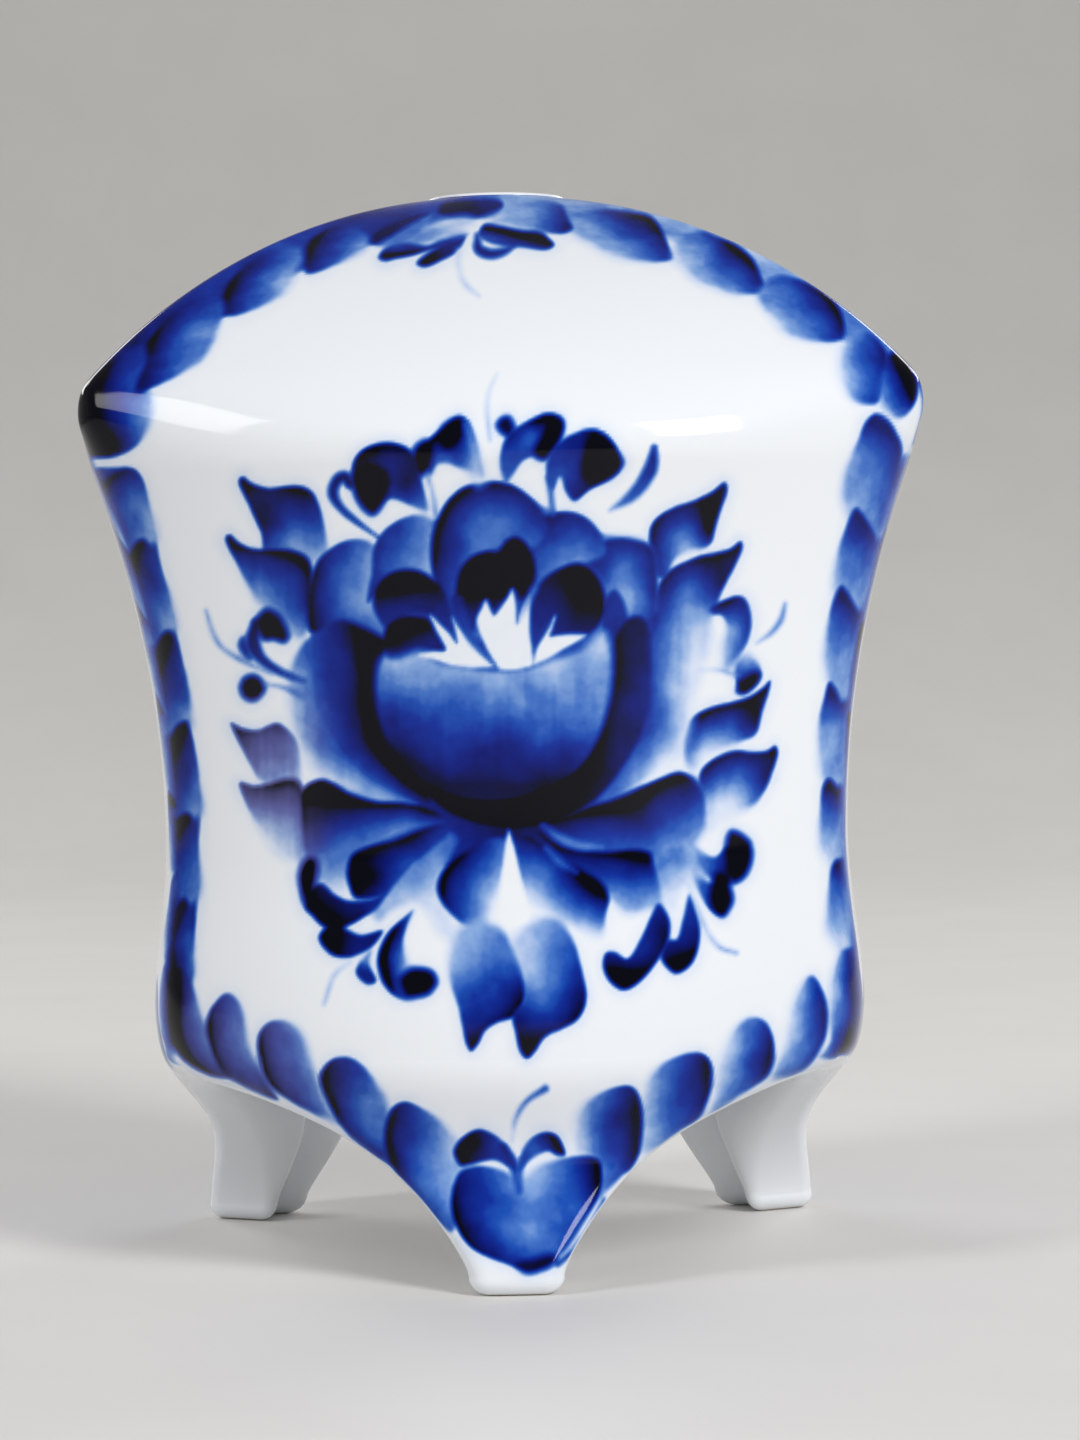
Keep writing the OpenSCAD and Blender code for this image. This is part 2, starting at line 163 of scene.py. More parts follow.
# Strokes of the painting, written in pixels of the photograph, back to front. A stroke is its
# outline, a bar, and the depth of the cobalt at a few spots, from 0, bare glaze, to 1.
STROKES = """
# bands along the ridges
58,424 74,376 122,326 184,274 248,234 320,204 394,188 452,182 505,181 500,214 445,222 395,238 330,258
262,292 205,330 160,372 128,420 100,446
| 92,390,.94 188,298,.84 270,250,.76 340,224,.8 380,214,.88 430,208,.7;
505,185 562,186 624,192 686,205 748,225 810,254 862,290 902,332 926,366 905,396 882,372 850,345 800,306
748,272 700,250 640,232 570,222 505,216
| 540,206,.35 600,214,.4 690,232,.28 770,268,.3 850,322,.4 895,372,.5;
# bands along the upright edges
30,462 100,468 136,470 148,505 156,540 164,582 176,630 184,676 190,728 195,760 200,812 197,856 198,890
192,950 184,985 110,992 90,860 80,700 50,560
| 120,480,.8 130,520,.8 150,590,.84 165,680,.84 172,760,.84 176,850,.82 172,950,.84;
930,536 872,540 852,560 846,604 838,645 832,692 828,742 826,792 828,850 834,900 842,958 850,986 950,986
950,760 945,600
| 866,560,.5 856,620,.48 848,700,.46 846,780,.46 848,860,.44 856,940,.46;
# arch petals, left
304,262 306,245 318,233 335,227 355,228 368,235 366,248 350,258 330,267 314,273 306,272
| 310,262,.95 322,240,.93 345,236,.72 350,254,.42;
221,312 222,295 232,278 250,262 272,250 292,246 302,252 298,270 290,288 270,302 245,313 230,316
| 227,304,.98 238,284,.92 262,274,.65 288,274,.38 272,294,.45 282,254,.7;
136,385 137,365 145,345 158,328 178,310 195,300 215,296 224,305 220,325 212,345 200,362 180,375 160,384
145,389
| 144,368,.98 160,336,.95 168,362,.72 195,335,.48 205,350,.4 205,308,.72;
50,440 66,405 92,378 112,360 130,348 142,345 146,360 138,380 135,394 150,393 153,412 147,432 134,448 112,457
86,458 60,460
| 78,425,1 92,444,1 102,412,.98 112,388,.9 122,440,.94 124,408,.72 140,424,.4 132,368,.78;
# arch petals, right
560,226 575,215 600,210 630,212 650,216 660,228 668,245 673,258 660,262 635,262 610,257 590,245 572,235
| 645,222,.96 628,224,.85 666,254,.85 605,224,.55 602,246,.28 640,252,.45 576,225,.38;
672,255 680,237 700,231 715,236 735,244 752,258 760,275 765,290 750,294 725,293 700,285 682,270
| 742,260,.96 722,250,.88 759,285,.85 705,246,.55 700,274,.32 736,283,.5 684,250,.32;
758,300 765,282 780,276 800,280 820,290 835,302 843,318 844,335 838,341 815,342 790,336 772,322
| 830,305,.97 808,288,.9 840,332,.92 788,288,.58 790,325,.32 815,322,.6 770,297,.42;
838,365 842,345 855,335 870,333 882,345 888,360 885,385 878,402 865,404 850,398 840,385
| 880,352,.88 876,386,.72 856,360,.42 847,386,.26;
880,402 882,378 888,355 900,353 912,368 918,385 915,403 905,416 893,418
| 902,380,.97 908,400,.9 886,398,.4 896,412,.45;
# bud under the mouth
500,214 520,205 548,203 562,206 566,216 572,228 560,234 535,231 510,226 488,224
| 510,216,.3 535,222,.35 558,208,.7 562,226,.88 545,212,.5;
371,242 376,232 390,224 410,216 432,213 428,226 415,238 400,244 382,247
| 380,240,.9 400,228,.9 424,218,.62;
438,212 445,202 470,199 498,200 502,207 490,213 470,218 450,217
| 460,207,.97 490,206,.93;
405,242 420,229 445,220 468,217 473,223 458,232 437,240 415,246
| 420,236,.36 450,225,.22;
379,257 385,248 400,242 425,246 440,240 460,233 468,235 450,245 430,250 410,256 395,259 385,261
| 390,254,1 428,247,.85 462,236,.55;
417,263 425,255 440,246 455,240 465,238 456,252 440,261 425,267
| 428,261,1 455,245,.9;
479,236 484,225 500,226 520,230 540,232 549,238 554,245 545,250 525,248 505,246 490,243
| 486,232,.9 505,238,.88 532,241,1 546,244,1;
# left upright border
104,482 113,473 130,469 142,480 150,505 158,538 142,548 128,554 116,530 107,505
| 116,480,.94 133,477,.86 145,532,.44 118,525,.78 130,505,.6;
127,572 130,552 137,541 145,540 153,552 165,580 173,605 178,628 165,633 152,646 143,622 134,595
| 139,558,.98 136,580,.94 158,585,.7 167,622,.42 146,620,.74;
154,668 157,646 163,634 170,632 177,645 186,675 191,705 193,727 180,729 165,738 158,712 153,686
| 170,650,.97 166,680,.9 184,682,.68 187,716,.46 167,715,.74;
164,765 169,739 177,725 186,721 190,730 196,755 200,785 203,812 190,820 178,824 171,800 166,780
| 182,745,.98 178,770,.9 193,777,.68 197,808,.42 181,800,.72;
171,842 174,822 183,813 191,815 196,830 199,855 202,885 195,902 182,902 174,880 171,860
| 186,828,.97 182,850,.86 194,857,.68 197,890,.4 184,885,.62;
170,928 175,908 183,898 189,905 193,930 195,960 192,982 180,988 169,976 168,950
| 185,914,.94 190,945,.64 189,972,.6 180,945,.8 181,968,.86;
155,992 157,978 168,971 182,968 191,982 198,1002 207,1026 222,1058 232,1076 215,1077 195,1069 178,1055
165,1035 158,1012
| 181,984,.98 181,1012,.95 187,1040,.9 202,1062,.88 216,1074,.93 194,1002,.56 200,1024,.48 212,1051,.5;
# right upright border
841,490 848,462 858,440 866,422 876,414 888,420 898,435 902,452 898,480 890,510 882,537 870,542 855,530
845,515
| 872,428,.88 893,446,.86 888,490,.74 864,462,.46 850,500,.3 872,500,.46 870,526,.36;
832,577 838,550 847,525 855,509 862,514 872,530 877,545 874,570 868,595 860,607 845,607 833,602
| 857,520,.88 870,540,.82 866,575,.58 850,550,.55 843,565,.4 838,592,.26 855,595,.36;
823,657 826,630 832,605 840,587 847,592 856,608 861,620 860,645 856,670 850,690 838,692 826,682
| 841,602,.9 853,620,.8 853,655,.5 838,625,.55 832,645,.38 830,678,.26 845,680,.36;
817,747 819,720 824,697 829,683 835,688 842,702 850,695 853,715 853,745 850,777 842,787 830,787 820,776
| 828,698,.9 842,708,.85 848,740,.48 830,725,.5 825,750,.34 829,778,.26 842,775,.36;
818,842 820,810 822,790 828,779 836,785 845,800 850,815 851,845 848,864 838,867 826,862
| 827,792,.93 843,806,.82 846,835,.46 832,818,.5 824,838,.32 832,860,.24;
825,927 828,895 831,870 838,859 846,868 852,880 856,905 860,935 862,957 850,957 838,952 830,942
| 837,870,.92 849,882,.82 850,915,.44 838,895,.5 832,918,.3 843,948,.22;
# bottom border, left
206,1030 209,1012 217,1000 226,993 236,998 243,1012 248,1035 256,1060 268,1084 278,1100 258,1093 240,1084
224,1074 213,1056
| 212,1030,.96 224,1004,.78 222,1060,.92 246,1048,.36 240,1076,.75 266,1092,.92;
257,1045 261,1030 272,1021 287,1021 300,1030 308,1045 315,1070 325,1100 340,1124 325,1119 305,1109 287,1099
270,1086 261,1068
| 263,1045,.96 276,1030,.72 271,1075,.95 300,1055,.4 312,1096,.5 296,1098,.8;
320,1082 324,1067 335,1058 350,1058 365,1068 378,1085 388,1100 392,1130 402,1163 392,1166 375,1156 358,1143
343,1128 330,1108
| 328,1084,.97 342,1066,.85 339,1110,.97 374,1098,.42 366,1130,.6 384,1152,.7;
384,1140 387,1120 394,1107 405,1102 420,1107 437,1117 450,1130 462,1146 466,1172 462,1202 452,1232 430,1213
412,1193 396,1173 388,1158
| 391,1135,.98 400,1112,.9 399,1160,.93 440,1138,.38 428,1188,.55 440,1212,.62;
# bottom border, right
819,1057 830,1040 827,1010 831,975 840,952 852,950 859,965 863,990 863,1015 858,1035 848,1050 835,1058
| 852,982,.97 850,1024,.94 842,1000,.56 833,1018,.36 836,1053,.85;
767,1079 776,1060 780,1035 790,1005 800,985 812,976 822,990 827,1010 826,1035 818,1053 805,1069 788,1077
| 824,1015,.93 820,1046,.86 806,1020,.5 788,1040,.18 792,1070,.55 812,990,.6;
704,1119 712,1100 713,1075 722,1045 735,1027 750,1017 765,1021 773,1038 774,1058 768,1075 755,1086 735,1099
715,1116
| 769,1045,.94 760,1076,.86 750,1042,.62 727,1060,.22 728,1100,.5;
641,1152 640,1120 641,1095 650,1075 665,1062 685,1054 702,1054 711,1065 712,1085 706,1105 698,1119 680,1131
660,1146
| 703,1070,.94 700,1106,.9 676,1085,.66 650,1095,.26 662,1134,.48;
600,1198 603,1170 594,1157 578,1156 572,1150 572,1125 580,1107 595,1095 615,1087 632,1087 640,1100 643,1125
640,1150 632,1168 622,1176 608,1190
| 632,1105,.94 630,1150,.92 606,1125,.68 580,1125,.2 606,1172,.55;
# heart on the foot
451,1200 459,1174 476,1166 499,1169 516,1177 524,1174 544,1163 579,1156 599,1160 603,1177 599,1197 584,1223
567,1249 550,1263 527,1270 504,1263 473,1249 456,1226
| 460,1200,.95 470,1230,.91 485,1185,.76 505,1190,.56 500,1225,.5 516,1210,.44 520,1245,.52 530,1175,.2
532,1195,.3 548,1182,.34 540,1215,.42 562,1180,.56 590,1170,.94 588,1195,.88 575,1215,.62 560,1235,.58
545,1255,.56 490,1248,.85 520,1262,.8;
516,1263 535,1258 550,1254 557,1260 548,1268 530,1274 521,1271
| 535,1264,.97;
454,1152 460,1140 472,1131 484,1130 500,1139 510,1152 517,1170 508,1166 495,1160 480,1162 470,1165 460,1165
| 465,1150,1 480,1144,.97 500,1150,.72 512,1165,.76;
520,1169 521,1156 526,1144 533,1137 543,1133 553,1134 560,1140 565,1154 557,1155 549,1151 541,1153 531,1159
524,1166
| 526,1156,.62 540,1141,.72 535,1150,.5 556,1146,1 562,1152,1;
# leaves, left
239,484 243,477 252,483 268,488 285,486 300,486 312,492 320,508 325,530 328,560 310,564 290,560 266,556
261,532 250,508
| 285,494,.96 258,498,.94 266,530,.9 305,505,.9 300,525,.62 290,540,.42 316,545,.4;
226,541 230,535 240,543 255,549 275,549 295,551 309,560 314,580 312,610 302,640 280,635 262,612 250,590
238,566
| 280,556,.98 240,552,.95 305,575,.96 306,605,.9 275,578,.6 265,600,.32 285,622,.22;
231,724 243,729 258,730 275,723 285,727 296,740 302,762 300,782 280,784 262,781 252,768 242,748
| 244,735,.92 265,733,.86 284,733,.88 254,764,.7 280,770,.34 296,768,.5;
240,783 255,786 270,783 290,778 302,785 303,820 306,850 302,866 285,860 268,845 252,815 245,800
| 250,790,.88 272,790,.92 294,788,.93 262,818,.45 285,840,.24 300,845,.4;
# leaves, right
650,552 650,530 658,517 675,507 695,500 712,492 724,483 727,491 721,510 715,530 709,545 690,552 675,560
665,577 655,574
| 690,505,.97 660,522,.95 718,500,.98 706,535,.95 655,560,.93 685,535,.52 698,546,.42;
648,650 651,622 655,598 662,580 675,567 695,558 715,553 730,549 740,542 742,549 735,566 726,583 719,599
712,618 712,645 700,672 680,680 662,668
| 690,563,.95 664,585,.93 730,562,.95 718,588,.93 690,592,.44 700,625,.26 708,640,.14 657,640,.74
670,655,.44 692,660,.24;
684,748 686,730 694,716 710,708 730,703 748,697 762,688 770,681 769,692 762,713 756,734 740,742 718,755
702,772 688,770
| 725,710,.94 692,730,.92 762,698,.97 755,724,.95 728,735,.4 700,752,.2 695,768,.16;
698,795 700,775 706,765 718,757 735,751 752,752 766,751 775,746 778,754 772,773 765,790 755,804 738,815
722,832 708,846 700,830
| 735,757,.92 704,776,.9 773,758,.97 765,782,.92 735,785,.36 720,805,.16 712,830,.06;
# ground of the rose
312,600 318,562 352,541 376,545 400,521 436,520 462,488 500,482 540,505 560,514 600,533 652,548 656,640
652,700 642,740 604,792 640,786 690,775 703,800 690,846 655,858 625,872 590,872 555,860 530,852 512,846
482,860 452,866 425,862 395,852 350,856 306,850 302,800 330,782 372,792 404,802 345,742 318,690 312,640
| 480,600,.72 350,600,.52 620,600,.52 350,820,.62 640,820,.62 500,815,1 420,800,.84 580,805,.88 470,848,.82
560,850,.82 500,834,.95;
# side petals
296,655 310,638 332,640 345,700 365,760 418,802 375,802 330,783 303,778 298,745 288,716 284,690
| 300,665,.42 292,700,.22 312,690,.52 300,745,.2 316,745,.42 318,772,.16 340,772,.4 385,796,.34;
312,645 317,624 335,615 355,617 374,626 386,642 381,665 376,690 380,720 392,750 410,775 430,802 400,796
370,780 345,757 328,730 316,700
| 345,630,.92 360,680,.99 348,712,.92 366,720,1 366,745,.97 388,768,1 402,785,.97 322,660,.76 322,700,.68
322,726,.6 338,748,.66 350,766,.6 370,782,.56 395,794,.56;
580,808 602,788 620,762 634,735 638,700 638,660 640,630 660,612 684,620 704,650 700,680 692,706 692,728
684,750 668,768 640,784 612,801
| 646,640,.85 647,690,.85 644,725,.75 660,650,.5 662,690,.48 682,650,.28 684,700,.24 666,745,.28 640,772,.36
605,800,.55 622,775,.6;
# lower fan
304,842 320,846 345,846 356,860 350,882 354,902 340,900 322,886 310,868
| 313,856,.5 330,870,.34 344,890,.12;
300,797 306,785 320,779 332,782 350,793 375,801 405,803 432,810 444,822 415,828 385,840 362,850 345,853
325,854 308,852 302,830
| 312,800,1 345,808,.98 390,810,.93 425,815,.92 320,835,.88 345,845,.55 385,832,.5 415,824,.5;
400,878 425,850 444,832 458,840 448,862 438,885 450,918 455,940 440,935 420,905 395,910 378,922 372,905
| 425,870,.4 445,845,.55 430,900,.16 400,900,.3 448,930,.14;
347,872 352,855 370,846 395,840 415,832 442,824 448,834 428,852 412,866 396,884 385,895 370,899 355,898
349,886
| 365,862,.98 380,880,.95 410,846,.93 435,832,.9 404,866,.7 392,886,.75;
437,890 440,875 450,862 468,850 482,841 500,838 510,846 503,880 498,905 492,928 470,928 455,917 443,904
| 448,882,.95 465,862,.9 470,895,.6 490,860,.6 490,905,.16 455,908,.8;
590,806 615,799 640,788 660,778 680,772 693,780 702,792 705,812 703,832 692,848 670,850 640,851 610,849
580,839 545,825 570,815
| 620,815,.97 580,820,.96 660,795,.95 690,790,.88 650,830,.8 680,835,.4 610,842,.72 695,825,.5;
540,833 570,848 600,852 630,849 650,853 658,872 664,900 672,938 660,915 648,912 625,915 608,895 590,875
565,860
| 620,860,.95 580,858,.9 648,868,.9 630,885,.6 622,905,.3 655,895,.45 640,905,.4;
514,842 530,838 545,848 565,860 585,870 602,882 609,897 606,913 602,936 590,950 570,936 548,915 528,917
518,880
| 590,893,.95 570,875,.92 550,862,.75 530,848,.85 560,900,.46 540,885,.42 590,925,.3 530,900,.14;
655,852 690,846 706,858 712,880 700,884 690,882 680,900 675,940 668,915 660,890
| 672,865,.36 690,862,.3 678,905,.1;
# upper petals
310,632 309,592 317,563 335,546 355,540 373,546 376,580 380,610 386,636 365,628 340,620
| 318,575,.95 316,605,.93 335,556,.8 352,575,.5 358,605,.4 370,615,.45;
368,602 372,575 374,550 383,532 398,521 415,515 432,520 437,545 440,575 445,600 425,584 405,574 388,582
| 378,552,.8 376,585,.76 395,530,.72 415,535,.45 420,565,.4 402,558,.46;
585,560 596,546 615,539 635,541 652,549 656,575 656,600 652,630 635,622 620,612 610,600 600,576
| 596,550,.92 620,546,.8 650,560,.86 653,590,.86 622,572,.45 632,595,.36 603,575,.72 640,612,.55;
523,545 534,525 550,515 570,512 588,519 600,533 606,552 592,562 575,566 558,575 546,590 536,605 532,580
530,562
| 538,532,.9 555,520,.85 590,535,.74 565,540,.58 560,562,.42 542,590,.42;
434,580 431,545 437,520 448,500 465,487 490,482 512,485 530,497 543,513 549,530 536,546 520,552 505,547
490,552 470,564 462,580 468,610 480,640 468,632 452,612
| 445,530,.94 442,565,.92 470,495,.95 505,492,.92 535,518,.78 500,530,.46 478,545,.5 455,595,.66 470,625,.6;
# buds over the rose
418,452 430,438 442,428 458,416 470,423 478,445 486,474 478,484 466,472 450,464 438,465 430,476
| 432,446,.93 455,424,.95 462,455,.72 474,455,.4 480,476,.2 445,462,.55;
411,463 414,448 424,440 433,445 433,462 426,475 416,475
| 422,455,1;
437,437 444,424 455,418 464,423 462,440 452,450 442,449
| 450,433,1;
352,470 360,452 380,443 400,445 413,454 421,478 428,510 412,506 392,499 378,504 360,500
| 365,460,.97 395,452,.94 392,466,.86 412,470,.95 405,490,.93 420,505,.55 395,500,.7;
351,476 364,462 385,468 391,482 386,500 375,515 364,511 355,496
| 370,488,1;
496,425 502,417 510,417 515,428 509,437 500,433
| 505,425,.97;
502,446 512,432 530,420 548,413 561,419 563,430 556,448 545,459 535,456 522,462 512,476 505,482 500,466
| 512,440,.85 535,426,.93 530,435,.66 552,420,.97 508,462,.66 530,455,.75;
533,450 540,436 549,418 560,417 564,428 557,446 546,459 536,458
| 548,437,1;
547,480 547,462 557,445 575,433 592,429 606,435 618,450 620,468 608,480 590,490 575,501 566,492 560,477
553,490
| 552,465,.72 572,444,.86 600,442,1 600,470,1 575,488,.88 560,470,.7;
580,466 587,440 600,433 614,447 623,462 613,476 596,484 583,481
| 600,458,1;
# dark lobes
603,640 604,606 613,590 622,598 627,614 629,628 622,645 612,654
| 615,612,.82 612,645,.92;
531,655 530,617 534,595 545,578 562,567 578,563 592,569 602,584 605,605 601,622 588,635 575,635 560,633
549,640 556,618 546,624 537,640
| 580,600,1 560,580,.98 540,605,.9 533,640,.75 595,580,1;
455,594 459,572 470,557 486,551 498,551 506,541 516,537 526,543 534,558 536,575 530,592 521,600 514,591
508,597 500,604 494,610 484,602 478,612 475,626 470,634 462,622 456,608
| 480,575,1 515,565,1 468,600,.99 470,625,.86 500,590,1;
373,602 377,585 390,573 408,569 425,573 441,586 449,604 452,620 444,626 432,617 420,613 405,616 395,626
385,627 377,616
| 400,592,1 425,592,.98 443,612,.86;
383,642 387,626 402,616 420,616 432,622 441,640 448,652 425,649 413,651 405,659 393,661 384,653
| 400,638,1 425,632,.98 440,648,.86;
# cup of the rose and the shade round it
376,640 370,665 370,695 377,722 390,752 408,778 432,800 460,818 500,827 540,825 575,813 600,796 622,768
639,738 648,705 651,660 648,626 637,616 623,624 612,650 608,700 560,770 490,790 420,765 385,715
| 380,700,.97 400,768,1 450,810,1 540,818,1 600,785,.98 632,745,.92 628,690,.95 630,640,.96 618,670,1
644,690,.86;
384,657 395,658 410,654 422,652 440,661 470,668 500,670 530,666 560,657 585,646 604,632 611,655 611,682
606,712 596,742 576,770 550,786 520,797 490,800 460,797 430,786 406,766 389,741 379,715 376,690 378,668
| 395,680,.42 440,680,.38 500,684,.36 560,680,.33 596,662,.3 390,715,.78 440,715,.62 500,717,.58 560,714,.48
600,705,.4 420,745,.88 500,748,.87 570,743,.81 595,732,.58 450,775,.92 520,777,.93 560,767,.92;
# berries and buds at the sides
254,624 262,611 272,610 283,620 289,635 284,643 274,641 262,640
| 271,626,1;
239,688 243,678 252,674 261,678 266,688 261,698 252,702 243,698
| 252,688,1;
239,646 243,637 248,647 251,659 245,657
| 244,648,.88;
711,608 722,601 738,596 747,602 751,620 748,640 740,655 729,669 720,666 721,645 726,628 722,616 713,614
| 724,606,.97 742,602,.9 748,618,.82 745,640,.7 733,632,.36 726,655,.3 738,652,.55;
735,662 745,654 756,659 761,675 752,689 741,693 736,680
| 741,664,.45 752,668,.6 748,682,.95;
737,689 742,680 752,672 760,674 756,684 746,692 739,693
| 748,682,1;
# buds, lower left
305,907 311,889 322,884 335,895 350,901 372,899 387,892 377,908 362,918 348,926 335,931 322,926 312,916
| 320,900,.98 345,910,.95 375,902,.86;
297,876 302,862 310,856 318,862 317,880 312,899 306,906 300,894
| 308,878,1;
319,939 325,928 338,923 348,930 362,935 382,931 373,946 360,954 345,958 330,954
| 335,940,1 362,945,.9;
356,973 361,960 371,951 370,965 376,981 366,984
| 363,974,.86 368,958,.5;
377,960 381,945 391,930 404,918 413,911 406,928 403,942 407,957 413,966 433,972 437,982 430,993 418,997
410,1001 398,998 387,989 380,976
| 388,958,.96 398,930,.9 405,945,.42 392,985,.96;
399,980 407,970 418,967 432,971 437,982 430,993 416,998 404,996
| 418,982,1;
# buds, lower right
686,846 700,852 715,857 728,846 734,866 729,884 716,881 702,870
| 692,852,.25 706,863,.52 724,866,.86;
688,870 700,877 712,884 722,878 729,898 723,915 712,911 702,898
| 695,878,.3 706,892,.6 720,898,.94;
725,846 730,831 741,833 751,842 753,858 746,876 733,883 727,871
| 740,855,1;
711,887 716,873 725,874 731,888 733,902 725,916 716,913 710,901
| 721,895,1;
603,963 606,953 615,952 628,958 640,940 650,918 658,904 666,912 670,925 667,945 660,957 650,971 637,984
624,990 612,984 605,974
| 618,970,1 636,972,1 655,925,.9 660,945,.95 640,950,.85;
661,956 668,941 678,938 684,915 689,894 696,910 700,930 698,950 690,966 677,974 667,968
| 677,958,1 690,950,.98 690,908,.78 684,925,.8;
# twin petals at the bottom
452,988 447,962 451,938 462,925 480,921 500,928 512,945 521,965 526,990 521,1011 512,1018 497,1023 485,1031
478,1044 471,1051 466,1043 462,1025 458,1006
| 475,940,.3 460,965,.36 490,965,.44 470,990,.58 475,1015,.82 512,985,.84 500,1010,.88 471,1040,.97;
512,945 518,930 530,920 548,916 563,924 575,945 583,975 586,1000 578,1019 562,1029 545,1037 535,1051
527,1058 520,1051 516,1035 513,1015 524,1000 522,975
| 530,940,.26 550,935,.36 535,975,.34 556,965,.54 540,1005,.6 575,975,.78 575,1005,.9 550,1025,.88
526,1040,.98 520,1015,.88;
"""

# Bands along an upright edge that only one of the rear hands lays, as the front view's outline shows them
HAND_BANDS = {0: "", 1: """
985,335 915,350 900,380 892,420 888,470 880,530 862,590 850,660 844,730 842,800 844,870 850,940 856,1000
850,1050 872,1072 960,1060 975,760
| 912,380,.97 900,440,.97 890,520,.88 868,600,.92 860,700,.84 858,760,.94 858,850,.84 864,920,.94
866,1000,.95 868,1050,.9 930,760,.88;
""", 2: """
20,462 108,470 128,520 146,580 160,640 170,700 184,760 194,820 196,880 194,940 192,985 198,1030 222,1078
100,1070 60,760
| 100,500,.3 130,560,.46 155,660,.5 168,760,.46 172,860,.5 172,940,.55 172,990,.9 178,1030,.93 200,1066,.9;
30,500 30,360 70,380 80,405 92,430 108,456 116,480 112,505
| 60,400,.03 100,480,.1 110,495,.2;
"""}

# Outlines of bare glaze left in the painted ground, or lifted out of it
BARE = """
419,655 433,651 445,650 441,640 435,628 430,615 440,624 450,634 457,643 455,630 452,617 459,625 471,641
482,655 494,666 482,667 468,667 450,665 435,660;
497,667 485,645 478,628 477,618 482,608 486,600 490,609 494,615 500,609 507,599 512,589 515,599 516,610
517,624 521,612 526,602 530,595 530,615 530,632 532,650 533,664 525,668 511,670;
534,663 537,648 544,636 550,626 555,616 553,627 550,636 560,635 572,634 586,635 575,643 562,650 550,657
540,662;
508,831 515,850 521,880 530,916 518,926 503,924 500,905 503,870;
"""

# Tendrils and curls: points with the width of the brush, a bar, and the depth at both ends
TENDRILS = """
350,484,8 344,477,11 336,482,10 333,494,10 341,508,7 357,522,4 378,537,1 | .97,.8;
654,448,5 651,468,13 641,486,13 628,499,10 610,510,2 | .94,.45;
497,374,1 489,392,3 487,412,3 490,440,2 | .1,.3;
427,474,3 433,495,4 436,516,3 | .5,.45;
549,478,6 551,495,5 553,514,4 | .7,.5;
466,424,5 474,448,6 482,476,3 | .6,.3;
256,624,10 253,642,14 262,659,11 280,672,8 304,681,2 | .97,.8;
206,611,2 214,635,4 225,650,4 245,662,4 272,674,2 | .4,.45;
266,684,3 284,688,4 302,697,5 | .5,.5;
785,604,2 781,620,5 771,633,4 757,643,1 | .5,.3;
700,670,2 720,670,3 738,676,4 | .2,.4;
543,826,4 560,838,9 582,846,8 602,847,2 | .45,.45;
546,848,3 560,862,7 576,872,3 | .42,.5;
350,962,2 334,976,4 324,1004,2 | .2,.32;
688,884,2 704,925,4 718,946,4 736,953,3 | .2,.45;
503,1148,8 513,1164,8 519,1192,4 | .86,.62;
519,1190,3 519,1176,5 522,1160,5 | .62,.6;
512,1140,2 516,1118,4 527,1101,4 545,1089,6 | .2,.72;
604,1200,2 590,1228,5 574,1250,5 558,1264,3 | .85,.85;
477,236,5 479,249,9 490,254,9 503,252,7 514,246,2 | .86,.86;
458,250,5 459,268,5 465,284,4 479,296,1 | .12,.22;
457,602,12 463,622,10 475,645,6 494,664,2 | .88,.5;
534,590,7 527,604,5 519,622,1 | .45,.2;
"""

# Softness of the edge of a stroke, of a lone dark lobe and of lifted glaze, in pixels
SOFT, LOBE_SOFT, BARE_SOFT = 7.0, 11.0, 5.0
# More softness round a pale stroke, and how fast it is lost with depth
FEATHER, FEATHER_LOSS = 18.0, 1.3
# Reach and depth of the cobalt that bleeds into the glaze round a stroke
BLEED, BLEED_DEPTH = 9.0, 0.07
# Share of the cobalt that bare glaze lifts, and that shows through a tendril
BARE_LIFT, SHOW_THROUGH = 0.97, 0.6
# How far and over what width the rear hands stray from the front's painting
STRAY, STRAY_WIDTH = 5, 130
# Points on a rounded line for each point written
CURVE_STEPS, BARE_CURVE_STEPS = 6, 4
# Give of the plate through the spots, its least depth, and how far it may pass the spots
PLATE_GIVE, PLATE_LEAST, PLATE_UNDER, PLATE_OVER = 0.02, 0.03, 0.12, 0.04
# Soft patches of upright brush streaks, and of painted reflection, a grey cast laid into the cobalt: middle,
# half sizes and strength
STREAKS = [
    (495, 715, 125, 70, 0.1), (275, 795, 50, 90, 0.3), (265, 600, 45, 60, 0.2), (680, 640, 60, 90, 0.12),
]
# Painted reflection: the grey cast that the glaze's reflection gives the cobalt on the lower left, laid into
# its colour
PAINTED_REFLECTION_PATCHES = [(265, 795, 55, 90, 0.6), (235, 1050, 100, 70, 0.3)]
# Streaks outside the patches, and the two noises that make them: share, upright stretch, width and seed
STREAK_GROUND = 0.06
STREAK_NOISE = [(0.6, 0.07, 4.5, 77), (0.4, 0.05, 9.0, 78)]
# Cells along each side of a noise before it repeats
LATTICE = 64


def entries(text):
    """Fields of each entry of a text, without its lines of remarks."""
    plain = " ".join(line for line in text.splitlines() if not line.startswith("#"))
    return [entry.split("|") for entry in plain.split(";") if entry.strip()]


def spots(text):
    """Rows of x, y and what else a text gives for each spot."""
    return np.array([[float(n) for n in spot.split(",")] for spot in text.split()])


def rounded(points, closed=True, steps=CURVE_STEPS):
    """Smooth line through points."""
    if closed:
        a, b, c, d = (np.roll(points, -k, 0) for k in (-1, 0, 1, 2))
    else:
        e = np.vstack([2 * points[0] - points[1], points, 2 * points[-1] - points[-2]])
        a, b, c, d = e[:-3], e[1:-2], e[2:-1], e[3:]
    t = np.arange(steps)[:, None, None] / steps
    bent = (2 * a - 5 * b + 4 * c - d) * t**2 + (3 * b - a - 3 * c + d) * t**3
    line = (0.5 * (2 * b + (c - a) * t + bent)).transpose(1, 0, 2).reshape(-1, points.shape[1])
    return line if closed else np.vstack([line, points[-1]])


